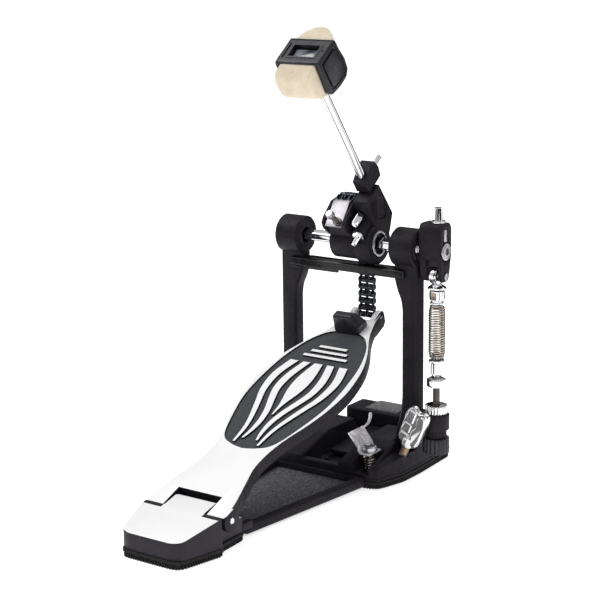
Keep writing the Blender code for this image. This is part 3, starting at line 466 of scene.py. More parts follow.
def tube(name, points, radius, sides=10):
    """A round wire through points, with closed ends, as a mesh."""
    path = [Vector(p) * MM for p in points]
    mesh = bmesh.new()
    rings = []
    normal = Vector((0.0, 0.0, 1.0))
    for k, at in enumerate(path):
        along = (path[min(k + 1, len(path) - 1)] - path[max(k - 1, 0)]).normalized()
        if k == 0 and abs(along.dot(normal)) > 0.9:
            normal = Vector((1.0, 0.0, 0.0))
        normal = (normal - along * normal.dot(along)).normalized()
        side = along.cross(normal)
        size = radius * MM
        turns = [2 * math.pi * i / sides for i in range(sides)]
        rings.append([mesh.verts.new(at + (normal * math.cos(a) + side * math.sin(a)) * size) for a in turns])
    for a, b in zip(rings, rings[1:]):
        for i in range(sides):
            mesh.faces.new((a[i], a[(i + 1) % sides], b[(i + 1) % sides], b[i]))
    mesh.faces.new(rings[0][::-1])
    mesh.faces.new(rings[-1])
    return closed(name, mesh)


def combine(target, others, operation):
    """The target after a Boolean with each of the others, which are used up."""
    for other in others:
        boolean = target.modifiers.new("boolean", "BOOLEAN")
        boolean.operation = operation
        boolean.object = other
    settled(target)
    for other in others:
        bpy.data.objects.remove(other)
    mesh = bmesh.new()
    mesh.from_mesh(target.data)
    bmesh.ops.remove_doubles(mesh, verts=mesh.verts, dist=WELD)
    mesh.to_mesh(target.data)
    mesh.free()
    return target


def cut(target, *others):
    return combine(target, others, "DIFFERENCE")


def join(target, *others):
    return combine(target, others, "UNION")


def keep(target, *others):
    return combine(target, others, "INTERSECT")


def gather(target, *others):
    """One object from several meshes that may touch, without a Boolean."""
    mesh = bmesh.new()
    for obj in (target, *others):
        own = target.matrix_world.inverted() @ obj.matrix_world
        data = obj.data.copy()
        data.transform(own)
        mesh.from_mesh(data)
        bpy.data.meshes.remove(data)
    mesh.to_mesh(target.data)
    mesh.free()
    for other in others:
        bpy.data.objects.remove(other)
    return target


def rectangle(left, low, right, high):
    """The outline of a rectangle."""
    return [(left, low), (right, low), (right, high), (left, high)]


def mirrored(half):
    """A half outline and its mirror image, as one closed outline."""
    return half + [(-x, y) for x, y in reversed(half) if abs(x) > 1e-6]


def arc(centre, radius, start, end, steps):
    """Points on a circle from one angle to another."""
    angles = [math.radians(start + (end - start) * i / steps) for i in range(steps + 1)]
    return [(centre[0] + radius * math.cos(a), centre[1] + radius * math.sin(a)) for a in angles]


def between(t, p, q, r, s):
    """The Catmull-Rom value at t between q and r."""
    bend, turn = 2 * p - 5 * q + 4 * r - s, 3 * q - p - 3 * r + s
    return 0.5 * (2 * q + (r - p) * t + bend * t * t + turn * t ** 3)


def flowing(points, steps):
    """A smooth line through points, as a Catmull-Rom spline."""
    padded = [points[0], *points, points[-1]]
    line = []
    for a, b, c, d in zip(padded, padded[1:], padded[2:], padded[3:]):
        for i in range(steps):
            line.append(tuple(between(i / steps, *four) for four in zip(a, b, c, d)))
    return line + [points[-1]]


def rounded_corners(points, radius, steps=5):
    """A closed outline with its corners rounded off."""
    line = []
    count = len(points)
    for k in range(count):
        before, at, after = (Vector(points[(k + j) % count]) for j in (-1, 0, 1))
        to_before, to_after = (before - at), (after - at)
        reach = min(radius, to_before.length * 0.45, to_after.length * 0.45)
        a, b = at + to_before.normalized() * reach, at + to_after.normalized() * reach
        for i in range(steps + 1):
            t = i / steps
            line.append(tuple(a * (1 - t) ** 2 + at * 2 * t * (1 - t) + b * t * t))
    return line


def ring_x(name, outer, inner, y, z, low, high, sides):
    """A flat ring whose axis runs across the pedal."""
    rims = [arc((y, z), radius, 0, 360 - 360 / sides, sides - 1) for radius in (outer, inner)]
    return plate(name, rims, "X", low, high)


def smooth(obj, angle=SHARP):
    """Smooth shading, with edges sharper than the angle kept sharp."""
    obj.data.shade_smooth()
    obj.data.set_sharp_from_angle(angle=math.radians(angle))


def finish(obj, body, slot, *nodes, material=None, angle=SHARP):
    """Gives a piece its material, from its slot unless one is given, smooth shading and its body, and hides
    the nodes it stands for.
    """
    if not obj.data.materials:
        obj.data.materials.append(material or MATERIALS[slot])
    smooth(obj, angle)
    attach(obj, body)
    if nodes:
        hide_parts(*nodes)
    return obj


def two_tone(obj, top_slot, side_slot, up, least=0.6):
    """The top slot's material on faces that look along up, the side slot's on the rest."""
    obj.data.materials.clear()
    obj.data.materials.append(MATERIALS[side_slot])
    obj.data.materials.append(MATERIALS[top_slot])
    turn = obj.matrix_world.to_3x3()
    for face in obj.data.polygons:
        face.material_index = int((turn @ face.normal).normalized().dot(up) > least)


def repaint(obj, index, chosen, matrix=WORLD):
    """Sets the material of faces chosen by their middle, in a frame's millimetres, and their normal."""
    to_frame = matrix.inverted() @ obj.matrix_world
    for face in obj.data.polygons:
        if chosen(to_frame @ face.center / MM, face.normal):
            face.material_index = index


def cad_copy(name, cad_node, width):
    """A node's own shape with rounded edges."""
    mesh = bmesh.new()
    mesh.from_mesh(frame["nodes"][cad_node].data)
    bmesh.ops.remove_doubles(mesh, verts=mesh.verts, dist=WELD)
    bmesh.ops.dissolve_limit(mesh, angle_limit=math.radians(1.0), verts=mesh.verts, edges=mesh.edges)
    return rounded(from_bmesh(name, mesh), width, 2)


# Stage


CAMERA_AT = (0.7680, -1.1746, 0.4844)


def camera():
    """The camera looks down a little, from the player's right."""
    azimuth, pitch, roll = math.radians(35.0), math.radians(13.5), math.radians(-0.7)
    level = Vector((math.cos(azimuth), math.sin(azimuth), 0.0))
    ahead = Vector((-math.sin(azimuth), math.cos(azimuth), 0.0))
    away = ahead * math.cos(pitch) - Vector((0.0, 0.0, math.sin(pitch)))
    upright = level.cross(away)
    right = level * math.cos(roll) + upright * math.sin(roll)
    up = upright * math.cos(roll) - level * math.sin(roll)
    data = bpy.data.cameras.new("camera")
    data.sensor_width = 36.0
    data.lens = 100.09
    data.clip_start = 0.05
    data.clip_end = 60.0
    turn = Matrix((right, up, -away)).transposed().to_4x4()
    bpy.context.scene.camera = added("camera", data, Matrix.Translation(CAMERA_AT) @ turn)


def softbox(name, at, aim, size, power):
    """A white area light at a place in metres, turned to a point."""
    data = bpy.data.lights.new(name, "AREA")
    data.shape = "RECTANGLE"
    data.size, data.size_y = size
    data.energy = power
    turn = (Vector(aim) - Vector(at)).to_track_quat("-Z", "Y").to_matrix().to_4x4()
    added(name, data, Matrix.Translation(at) @ turn)


BAR_COUNT = 5.0
SKY_STRENGTH = 0.62


def studio_world():
    """A bright sky whose lower part is barred with dark, so that polished metal has something to mirror."""
    world = bpy.data.worlds.new("studio")
    world.use_nodes = True
    tree = world.node_tree
    where = tree.nodes.new("ShaderNodeTexCoord").outputs["Generated"]
    parts = tree.nodes.new("ShaderNodeSeparateXYZ")
    tree.links.new(where, parts.inputs[0])
    bearing = maths(tree, "ARCTAN2", parts.outputs["Y"], parts.outputs["X"])
    wave = maths(tree, "SINE", maths(tree, "MULTIPLY", bearing, BAR_COUNT))
    bars = ramp(tree, wave, 0.01, 0.9, 0.25, 0.6)
    height = ramp(tree, parts.outputs["Z"], 0.0, 1.0, 0.12, 0.60)
    sky = mixed(tree, height, bars, (1.0, 1.0, 1.0))
    background = tree.nodes["Background"]
    tree.links.new(sky, background.inputs["Color"])
    background.inputs["Strength"].default_value = SKY_STRENGTH
    bpy.context.scene.world = world


def studio():
    """The bright surroundings, three soft lights and a white floor."""
    studio_world()
    bpy.context.scene.view_settings.view_transform = "Standard"
    softbox("key_light", (-1.1, -0.6, 1.7), (0, -0.05, 0.1), (1.3, 1.3), 20)
    softbox("side_light", (1.7, -0.5, 0.9), (0, 0, 0.15), (0.9, 1.4), 6)
    softbox("back_light", (0.2, 1.6, 1.5), (0, 0, 0.15), (1.6, 0.8), 8)
    mesh = bmesh.new()
    bmesh.ops.create_grid(mesh, x_segments=24, y_segments=24, size=14.0)
    floor = from_bmesh("studio_floor", mesh)
    made, tree = base_material("white_floor", 0.8, Specular_IOR_Level=0.0, Emission_Strength=0.66)
    shader = tree.nodes["Principled BSDF"]
    paper = ramp(tree, noise(tree, 3, 3), (0.90, 0.90, 0.905), (0.94, 0.94, 0.94))
    tree.links.new(paper, shader.inputs["Base Color"])
    tree.links.new(paper, shader.inputs["Emission Color"])
    floor.data.materials.append(made)


FLAG_REACH, FLAG_TOP = 395, 520
FLAG_CARDS = (
    (72, 0.24), (178, 0.24), (112, 0.03), (138, 0.03), (28, 0.07), (222, 0.07), (262, 0.05), (340, 0.05),
)


def flags():
    """Dark cards round the pedal, each (bearing, width in metres): only its polished metal shows them."""
    cloth, tree = base_material("flag_cloth", 0.9, Specular_IOR_Level=0.0)
    shade = ramp(tree, noise(tree, 60, 3), 0.002, 0.006)
    tree.links.new(shade, tree.nodes["Principled BSDF"].inputs["Base Color"])
    for bearing, width in FLAG_CARDS:
        turn = Matrix.Rotation(math.radians(bearing), 4, "Z")
        half = 500 * width
        card = block(f"flag_{bearing}", (FLAG_REACH, -half, 2), (FLAG_REACH + 5, half, FLAG_TOP), turn)
        card.data.materials.append(cloth)
        card.visible_camera = False
        card.visible_diffuse = False
        card.visible_shadow = False


camera()
studio()
flags()


# Base


# Right halves of the soles' outlines, as (x, y)
FRONT_HALF = [(46, -53.5), (58.5, -50), (66.5, -22), (67, 6), (64.5, 62), (40, 62), (38, 76)]
HEEL_HALF = [(22, -280.3), (27.5, -278.5), (30.3, -273), (38.6, -238), (33, -232), (31.5, -200)]

# Body, slot, and each node with the width that rounds its edges
PLAIN_NODES = (
    ("frame", CASTING, {
        "front_casting": 0.5, "base_plate": 0.5, "base_screw_left": 0.2, "base_screw_right": 0.2,
        "left_post": 0.6, "right_post": 0.6,
    }),
    ("frame", "gloss_bar", {"cross_bar": 0.4}),
    ("frame", CHROME, {
        "hinge_pin": 0.0, "left_bearing": 0.2, "right_bearing": 0.2, "bar_screw_left": 0.2,
        "bar_screw_right": 0.2, "fulcrum_screw": 0.2,
    }),
    ("footboard", CHROME, {"chain_pin": 0.0}),
    ("shaft", CASTING, {"chain_cam": 0.4, "rod_clamp": 0.5}),
    ("shaft", CHROME, {
        "rod_key_screw": 0.2, "hub_key_screw": 0.2, "clamp_key_screw": 0.2, "drive_shaft": 0.1,
        "rocker_pin": 0.0, "rocker_key_screw": 0.2, "chain_clamp_plate": 0.2, "holder_ring": 0.2,
    }),
    ("beater_rod", CHROME, {"beater_rod": 0.0}),
    ("spring_upper", CHROME, {"spring_eye": 0.2}),
    ("spring_lower", CHROME, {"lower_shackle": 0.1}),
)
PLAIN_METALS = {"fulcrum_screw": NICKEL, "chain_clamp_plate": STRAP_STEEL, "holder_ring": NICKEL}


def plain_nodes():
    """Nodes whose CAD shape is right: the same shape with rounded edges and real materials."""
    for body, slot, widths in PLAIN_NODES:
        for cad_node, width in widths.items():
            copy = cad_copy(f"{cad_node}_fine", cad_node, width)
            finish(copy, body, slot, cad_node, material=PLAIN_METALS.get(cad_node))


def serrated(outline, pitch, depth):
    """A closed outline with a tooth every pitch along its sides."""
    line = []
    for a, b in zip(outline, outline[1:] + outline[:1]):
        start, end = Vector(a), Vector(b)
        along = end - start
        count = max(1, round(along.length / pitch))
        inward = Vector((-along.y, along.x)).normalized() * depth
        for k in range(count):
            at = start + along * (k / count)
            step = along / count
            line += [tuple(at + step * 0.04), tuple(at + step * 0.5), tuple(at + step * 0.54 + inward)]
            line.append(tuple(at + step + inward))
    return line


def inset(half, by):
    """A half outline drawn in towards its middle."""
    ys = [y for _, y in half]
    middle = (min(ys) + max(ys)) / 2
    reach = (max(ys) - min(ys)) / 2
    return [(x - by, middle + (y - middle) * (1 - by / reach)) for x, y in half]


def rubber_soles():
    """Each sole is a toothed foot, a groove and a lip."""
    groove_low, groove_high, lip_low = 3.4, 4.3, 4.1
    recess = ((-42.4, -60, 2.6), (42.4, -17.6, 7))
    for name, half, top in (("front_rubber_sole", FRONT_HALF, 6.0), ("heel_rubber_sole", HEEL_HALF, 6.7)):
        full = rounded_corners(mirrored(half), 5, 6)
        slim = rounded_corners(mirrored(inset(half, 1.2)), 5, 6)
        teeth = serrated(rounded_corners(mirrored(inset(half, 0.5)), 5, 2), 2.4, 1.3)
        layers = [
            plate(f"{name}_teeth", teeth, "Z", 0, groove_low + 0.2),
            plate(f"{name}_neck", slim, "Z", groove_low, groove_high),
            plate(f"{name}_lip", full, "Z", lip_low, top, bevel=0.4),
        ]
        if half is FRONT_HALF:
            for layer in layers:
                cut(layer, block("sole_recess", *recess))
        finish(gather(*layers), "frame", "sole_rubber", name)


def plate_shoulders():
    """The base plate's sides where they run into the heel's foot."""
    for side in (-1, 1):
        low, high = span(side, 25.5, 31.2)
        shoulder = block(f"plate_shoulder_{side}", (low, -203.6, 7.2), (high, -190, 13.2), bevel=0.8)
        finish(shoulder, "frame", CASTING)


def base_floor():
    """The textured floor of the base plate."""
    floor = plate("base_floor_coat", mirrored([(24.3, -189.8), (40.3, -57.7)]), "Z", 4.5, 4.95)
    finish(floor, "frame", "grey_floor")


rubber_soles()
plate_shoulders()
base_floor()


# Footboard


# Right halves of the outlines, as (half width, distance along the board from the hinge)
BOARD_POINTS = [
    (37.8, -18), (36, 0), (30, 24), (25.8, 42), (26.2, 61), (30.2, 80), (37.9, 102), (43.8, 125),
    (46.5, 151), (43, 180), (35, 203), (24.7, 223), (19, 237), (15, 252), (14.5, 262),
]
PAD_POINTS = [
    (0, 61), (12, 63.5), (24, 71), (32.5, 92), (41, 130), (39.5, 175), (32, 205), (22, 222), (11, 229),
    (0, 230.6),
]
# Stations of the ribs, as (middle, half width, distance along the board)
OUTER_RIB = [
    (25.0, 4.1, 180), (29.5, 3.7, 163), (30.2, 3.4, 150), (28.0, 3.0, 134.5), (22.7, 2.6, 119),
    (18.0, 2.3, 105), (14.6, 1.9, 93), (12.7, 1.6, 82), (11.9, 1.0, 67),
]
INNER_RIB = [
    (12.1, 3.5, 180), (16.5, 3.6, 163), (17.9, 3.5, 150), (16.9, 3.3, 138), (12.7, 3.1, 124.5),
    (8.0, 2.8, 111), (5.4, 2.4, 98), (5.1, 1.9, 87), (5.9, 1.4, 79), (7.0, 0.9, 73),
]
LEAF = [
    (0, 3.9, 180), (0, 7.0, 163), (0, 7.7, 151), (0, 6.5, 139.5), (0, 3.6, 128), (0, 1.5, 118), (0, 0.7, 107),
]
RIB_LOW, RIB_TOP = -2.9, 0.3


def rib(name, stations, side, high, grow=0.0):
    """A raised grip rib through its stations, grown on all sides by a gap."""
    top, foot = stations[0][2], stations[-1][2]
    left, right = [], []
    for middle, half, s in flowing(stations, 6):
        stretched = s + grow * (2 * (s - foot) / (top - foot) - 1)
        left.append((side * (middle - half - grow), stretched))
        right.append((side * (middle + half + grow), stretched))
    return plate(name, left + right[::-1], "Z", RIB_LOW, high, BOARD)


def ribs(prefix, high, grow=0.0):
    """Four curved ribs, the pointed middle leaf, and three short grip bars above them."""
    made = [rib(f"{prefix}_leaf", LEAF, 1, high, grow)]
    for side in (-1, 1):
        made.append(rib(f"{prefix}_outer_{side}", OUTER_RIB, side, high, grow))
        made.append(rib(f"{prefix}_inner_{side}", INNER_RIB, side, high, grow))
    for k, half in enumerate((22, 18, 14)):
        s = 190 + 7 * k
        corners = rectangle(-half - grow, s - 1.5 - grow, half + grow, s + 1.5 + grow)
        made.append(plate(f"{prefix}_bar_{k}", corners, "Z", RIB_LOW, high, BOARD))
    return made


def tip_and_ears(board):
    """Silver on the inner sides of the two fins at the board's tip, and black on the ears' lower faces."""

    def cradle(middle, normal):
        inward = normal.x * middle.x < 0
        return middle.y > 234 and middle.z > -12 and (inward or normal.z > 0.2)

    def ear(middle, _):
        return abs(middle.x) > 33.5 and middle.y < 2 and middle.z < -0.6

    repaint(board, 1, cradle, BOARD)
    repaint(board, 0, ear, BOARD)


def footboard():
    """The cast board: silver on top, black on its skirts and on the sides of its ribs."""
    half = flowing(BOARD_POINTS, 8)
    board = plate("footboard_cast", mirrored(half), "Z", -11, 0, BOARD, bevel=0.5)
    inside = [(max(x - 2.6, 1.0), s) for x, s in half if 6 < s < 240]
    hollow = plate("hollow", mirrored(inside), "Z", -20, -3.6, BOARD)
    slot = block("hinge_slot", (-21.5, -30, -30), (21.5, 3.4, 10), BOARD)
    cut(board, hollow, slot)
    parts = []
    for side in (1, -1):
        parts.append(disc_x(f"ear_{side}", *span(side, 33.8, 38.6), HINGE.y, HINGE.z, 9, bevel=0.6))
        fin = flowing([(236, -3), (250, 0.8), (259, 2.6), (265, 1.4), (266.2, -3), (265.4, -10)], 6)
        fin += [(262, -13), (248, -14.5), (236, -13.5)]
        parts.append(plate(f"fin_{side}", fin, "X", *span(side, 9.4, 14.4), BOARD, bevel=0.5))
    join(board, *parts)
    cut(
        board,
        block("chain_slot", (-9.4, 251, -20), (9.4, 275, 10), BOARD),
        disc_x("hinge_bore", -45, 45, HINGE.y, HINGE.z, HINGE_BORE, 24),
        disc_x("chain_bore", -20, 20, CHAIN_FOOT.y, CHAIN_FOOT.z, CHAIN_BORE, 16),
        plate("pad_recess", mirrored(flowing(PAD_POINTS, 8)), "Z", -2.3, 4, BOARD),
        *[block("ear_trim", (39 * side - 9, -30, 0), (39 * side + 9, 14, 12), BOARD) for side in (-1, 1)],
    )
    join(board, *ribs("rib", RIB_TOP))
    two_tone(board, "silver_board", CASTING, BOARD.to_3x3() @ Vector((0, 0, 1)))
    tip_and_ears(board)
    finish(board, "footboard", "silver_board", "footboard")


def footboard_pad():
    """The grip pad in the board's recess, with gaps round the ribs."""
    half = [(max(x - GAP, 0), s + (0.5 if s < 145 else -0.5)) for x, s in flowing(PAD_POINTS, 8)]
    pad = plate("grip_pad", mirrored(half), "Z", -2.0, -1.2, BOARD)
    cut(pad, *ribs("rib_gap", 3, GAP))
    finish(pad, "footboard", "grip_pad", "footboard_pad")


def toe_stop():
    """The stop at the board's top, with its sides cut back."""
    profile = [(227.5, 0.4), (228.5, 15), (230.5, 17), (237, 16.3), (241, 6), (242, 0.4)]
    stop = plate("toe_block", rounded_corners(profile, 1.0, 3), "X", -13, 13, BOARD)
    shape = rounded_corners([(-12.5, 0.4), (12.5, 0.4), (12.5, 7.5), (6.0, 17), (-12.2, 17)], 1.4, 3)
    keep(stop, plate("toe_shape", shape, "Y", 220, 250, BOARD))
    finish(rounded(stop, 0.8, 2), "footboard", PLASTIC, "toe_stop")


footboard()
footboard_pad()
toe_stop()


def heel_block():
    """The heel plate: silver on top, black round its sides."""
    side = [(-285, 7), (-285, 19.2), (-230, 32.7), (-230, 7)]
    body = plate("heel_plate", side, "X", -40, 40)
    footprint = rounded_corners(mirrored([(21.5, -279.3), (29.2, -275.5), (37.5, -240), (37.5, -237.3)]), 7)
    keep(body, plate("heel_footprint", footprint, "Z", 0, 40))
    hinge = [(-239, 12), (-239, 30.48), (-223.4, 34.31), (-219.8, 33.4), (-217.4, 29), (-217.4, 20)]
    hinge += [(-219, 12)]
    tongue = plate("hinge_tongue", hinge, "X", -18.4, 20.2)
    foot = block("heel_foot", (-31, -240, 7.3), (31, -204, 19.5))
    join(body, tongue, foot)
    cut(body, disc_x("pin_bore", -30, 30, HINGE.y, HINGE.z, HINGE_BORE, 24))
    cut(body, block("plate_slot", (-24.4, -233, 6.5), (24.4, -200, 10.2)))
    seam = [(-241.6, 29.45), (-236.6, 30.68), (-236.6, 40), (-241.6, 40)]
    cut(
        body,
        plate("seam_right", seam, "X", TONGUE_RIGHT, 45),
        plate("seam_left", seam, "X", -45, TONGUE_LEFT),
    )
    rounded(body, 0.5)
    two_tone(body, "silver_board", CASTING, Vector((0, -0.236, 0.97)), 0.8)

    def beside_tongue(middle, _):
        return middle.y > -241.7 and not TONGUE_LEFT < middle.x < TONGUE_RIGHT

    repaint(body, 0, beside_tongue)
    finish(body, "frame", "silver_board", "heel_block")


heel_block()


# Chain


def on_cam(angle):
    """A point of the chain's line round the cam."""
    a = math.radians(angle)
    return CAM_Y + CAM_RADIUS * math.cos(a), CAM_Z + CAM_RADIUS * math.sin(a)


LINK_ANGLE = 2 * math.degrees(math.asin(CHAIN_PITCH / 2 / CAM_RADIUS))
CHAIN_HALF = 8.3
# The plates' lower X, for the links with outer plates and those with inner plates
OUTER_PLATES = (-7.9, -0.55, 6.8)
INNER_PLATES = (-6.7, -1.75, 0.65, 5.6)
PLATE_THICK, WAIST = 1.1, 0.55
ROLLER_RADIUS, RIVET_RADIUS = 2.7, 1.05


def link_outline(start, end, size):
    """The waisted outline of a side plate between two pins."""
    a, b = Vector(start), Vector(end)
    along = (b - a).normalized()
    across = Vector((-along.y, along.x))
    outline = []
    for centre, way in ((b, 1), (a, -1)):
        for k in range(-5, 6):
            turn = math.radians(k * 20)
            outline.append(tuple(centre + (along * math.cos(turn) + across * math.sin(turn)) * size * way))
        outline.append(tuple((a + b) / 2 + across * size * WAIST * way))
    return outline


def chain_piece(name, points, body, cad_node, first_outer):
    """Rollers at each point and pairs of waisted plates between them."""
    parts = []
    for y, z in points[:-1]:
        for low, high in ((-5.5, -1.8), (1.8, 5.5)):
            parts.append(disc_x(f"{name}_roller", low, high, y, z, ROLLER_RADIUS, 24, 0.25))
        parts.append(disc_x(f"{name}_rivet", -CHAIN_HALF, CHAIN_HALF, y, z, RIVET_RADIUS, 16, 0.2))
    for k, (start, end) in enumerate(zip(points, points[1:])):
        outer = (k % 2 == 0) == first_outer
        for x in OUTER_PLATES if outer else INNER_PLATES:
            shape = link_outline(start, end, 2.55 if outer else 2.7)
            parts.append(plate(f"{name}_plate", shape, "X", x, x + PLATE_THICK, bevel=0.18, segments=2))
    return finish(gather(*parts), body, "chain_steel", cad_node)


def chain():
    """The straight run, the free links that bend at the cam, and the links that stay on it."""
    top = CAM_Z - CHAIN_PITCH
    count = round((top - CHAIN_FOOT.z) / CHAIN_PITCH)
    pitch = (top - CHAIN_FOOT.z) / count
    run = [(CHAIN_FOOT.y, CHAIN_FOOT.z + k * pitch) for k in range(count + 1)]
    run.append((CHAIN_FOOT.y, CAM_Z - 0.3))
    chain_piece("chain_straight", run, "chain_run", "chain_run", True)
    for k in range(FREE_LINKS):
        points = [on_cam(k * LINK_ANGLE), on_cam((k + 1) * LINK_ANGLE)]
        own = f"chain_link_{k + 1}"
        chain_piece(f"chain_bend_{k + 1}", points, own, own, k % 2 == 0)
    wrapped = [on_cam((FREE_LINKS + k) * LINK_ANGLE) for k in range(5)]
    chain_piece("chain_on_cam", wrapped, "shaft", "chain_wrap", True)


chain()


# Springs


COIL_STEPS = 24


def helix(centre, rise, radius_at, turns):
    """Points on a coil whose radius and height follow the share of its length."""
    count = int(turns * COIL_STEPS)
    line = []
    for k in range(count + 1):
        t = k / count
        angle = 2 * math.pi * turns * t
        r = radius_at(t)
        line.append((centre[0] + r * math.cos(angle), centre[1] + r * math.sin(angle), rise(t)))
    return line


def coil_spring():
    """The return spring: even turns, drawn in at both ends to meet the shackles."""
    low, high, turns = 107.6, 153.4, 22.0
    coil_radius, wire_radius, end_turns, drawn_in = 6.5, 0.72, 2.6, 0.4

    def radius_at(t):
        from_end = min(t, 1 - t) * turns
        return coil_radius - max(0.0, end_turns - from_end) * drawn_in

    line = helix((SPRING.x, SPRING.y), lambda t: low + (high - low) * t, radius_at, turns)
    coil = tube("return_spring", line, wire_radius)
    coil.data.materials.append(MATERIALS["spring_wire"])
    smooth(coil, 60)
    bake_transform(coil)
    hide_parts("coil_spring")


def fulcrum_spring():
    """The short spring round the fulcrum screw."""
    line = helix((SCREW_X, SCREW_Y), lambda t: 12.2 + 10.6 * t, lambda t: 4.9 - 0.4 * t, 4.6)
    finish(tube("clamp_spring", line, 0.65), "frame", "spring_wire", "fulcrum_spring", angle=60)


def jaw():
    """The hoop jaw on its lever, with its textured crown."""
    side = rounded_corners([(48.0, 14.2), (48.0, 33), (77, 33), (77, 14.2)], 3.0)
    body = plate("jaw_body", side, "X", -38, 38, bevel=1.6)
    arm = [(-16, 10.5), (-16, 14.5), (46, 17.5), (52, 20), (52, 15), (46, 13)]
    join(body, plate("jaw_lever", arm, "X", -13, 13, bevel=0.8))
    finish(body, "hoop_jaw", CASTING, "hoop_jaw")
    crown = flowing([(51, 31), (54, 34.6), (60.5, 37), (67, 37), (72.5, 35), (75.5, 31)], 8)
    spread = flowing([(-22, 31), (-18, 34.4), (-10, 36.6), (-2, 37.4), (6, 36.4), (12, 34), (15, 31)], 8)
    dome = keep(plate("jaw_crown", crown, "X", -24, 17), plate("crown_spread", spread, "Y", 45, 80))
    finish(dome, "hoop_jaw", CASTING, material=CROWN_COAT, angle=50)


def strap():
    """The bent strap on the jaw, with its lip and hook, and a dark disc on the fulcrum screw's head: painted
    shade standing in for its recess.
    """
    path = [(45.6, 26.2), (44.8, 27.2), (36.2, 27.2), (34.6, 28.4), (34.0, 32.2), (24.6, 43.2), (23.0, 42.0)]
    path += [(32.2, 31.0), (32.9, 27.4), (35.4, 25.0), (44.8, 25.0)]
    body = plate("strap_plate", path, "Y", -42.5, -24.5)
    cut(body, cylinder("strap_hole", (SCREW_X, SCREW_Y, 15), (SCREW_X, SCREW_Y, 45), 3.3, 24))
    rounded(body, 0.3, 2)
    lip = [(36.6, 26.2), (38.4, 29.6), (36.6, 33.8), (27.2, 45.2), (24.0, 42.6), (33.4, 31.6), (33.9, 28.0)]
    hook = flowing([(27.0, 42.0), (31.2, 44.8), (34.8, 48.6), (36.4, 52.5), (37.0, 57.5)], 6)
    hook += [(x - 1.5, z + 0.9) for x, z in reversed(hook)]
    tongue = plate("strap_hook", hook, "Y", -28.4, -25.2, bevel=0.4)
    gather(body, plate("strap_lip", lip, "Y", -26.3, -24.5, bevel=0.3), tongue)
    finish(body, "hoop_jaw", CHROME, "jaw_strap", material=SATIN_STRAP)
    # A thin dark disc on top of the screw head: painted shade where the recess would be.
    recess = cylinder("screw_recess_painted_shade", (SCREW_X, SCREW_Y, 31.3), (SCREW_X, SCREW_Y, 31.7), 4.3, 32)
    finish(recess, "frame", CHROME, material=DARK_THREAD_AND_SHADE)


coil_spring()
fulcrum_spring()
jaw()
strap()


# Beater


def beater_shell():
    """The two-sided head's shell: flat top with a deep window, and bulging framed sides."""
    side = [(-13.5, 0), (14.2, 0), (15.4, -2.5), (15.6, -9.6), (17.4, -21), (16.0, -31), (10.5, -35.3)]
    side += [(0, -35.6), (-13, -33.4), (-16.6, -28.5), (-15.2, -9), (-14.8, -2.5)]
    shell = plate("beater_head_shell", rounded_corners(side, 2.0), "X", -20.8, 20.8, HEAD, bevel=1.2)
    rim = rounded_corners(rectangle(-19.6, -12.0, 19.6, 12.6), 2.0)
    inner = rounded_corners(rectangle(-14.2, -8.2, 14.2, 8.2), 1.5)
    cut(
        shell,
        cylinder("rod_socket", (0, 0, -40), (0, 0, -6.6), 4.1, 32, matrix=HEAD),
        block("insert_recess", (-12.4, -6.6, -5.2), (12.4, 6.6, 4), HEAD),
        block("front_seat", (-17.4, -30, -33.2), (17.4, -7.6, -1.6), HEAD),
        block("rear_seat", (-17.4, 7.6, -33.2), (17.4, 30, -1.2), HEAD),
        block("slit", (-17.6, -8.0, -1.6), (-15.8, 8.6, 2), HEAD, 0.3),
        cylinder("dot", (16.6, 1.0, -1.2), (16.6, 1.0, 2), 1.0, 20, matrix=HEAD),
        plate("rim_groove", [rim, inner], "Z", -0.35, 2, HEAD),
    )
    panel = [(-11.0, -3.6), (12.2, -3.6), (12.8, -10), (14.4, -21), (13.0, -30), (8.5, -32.6), (-11, -30.4)]
    crease = rounded_corners([(y * 0.88 + 0.4, -18 + (z + 18) * 0.88) for y, z in panel], 3.0)
    panel = rounded_corners(panel, 2.0)
    for way in (-1, 1):
        cut(shell, plate("side_panel", panel, "X", *span(way, 19.9, 25), HEAD, bevel=0.4))
        join(shell, plate("side_bulge", crease, "X", *span(way, 19.0, 21.4), HEAD, bevel=1.6))
    finish(shell, "beater_head", PLASTIC, "beater_shell")
    insert = block("beater_window", (-11.0, -5.2, -4.9), (11.0, 5.2, -3.6), HEAD, 0.4)
    finish(insert, "beater_head", "insert_plastic", "beater_insert")


FELT_CELL, FELT_FUZZ = 0.55, 0.05


def felted(obj, seed):
    """Turns a block into felt: many small faces, pushed in and out a little."""
    remesh = obj.modifiers.new("felt", "REMESH")
    remesh.mode = "VOXEL"
    remesh.voxel_size = FELT_CELL * MM
    relax = obj.modifiers.new("relax", "SMOOTH")
    relax.iterations = 6
    settled(obj)
    draw = random.Random(seed)
    for vertex in obj.data.vertices:
        vertex.co += vertex.normal * draw.uniform(-FELT_FUZZ, FELT_FUZZ) * MM
    return obj


def felts():
    """The round-nosed front felt and the wedge-shaped rear felt."""
    crown = flowing([(-20, -2.0), (-25.6, -4.4), (-28.0, -10), (-28.0, -19), (-25.4, -26.6), (-20, -31.8)], 8)
    front = [(-8.2, -1.9), (-14.5, -1.9), *crown, (-14.5, -32.8), (-8.2, -32.8)]
    felt = plate("front_felt_pad", front, "X", -16.8, 16.8, HEAD, bevel=2.0, segments=4)
    finish(felted(felt, 1), "beater_head", "beater_felt", "front_felt", angle=80)
    half = flowing([(16.8, 8.2), (16.8, 15.5), (15.6, 19), (13.2, 23), (9.3, 27), (5, 29.6), (1.8, 30.4)], 6)
    felt = plate("rear_felt_pad", mirrored(half), "Z", -32.8, -1.4, HEAD, bevel=2.0, segments=4)
    finish(felted(felt, 2), "beater_head", "beater_felt", "rear_felt", angle=80)


beater_shell()
felts()


# Adjusters


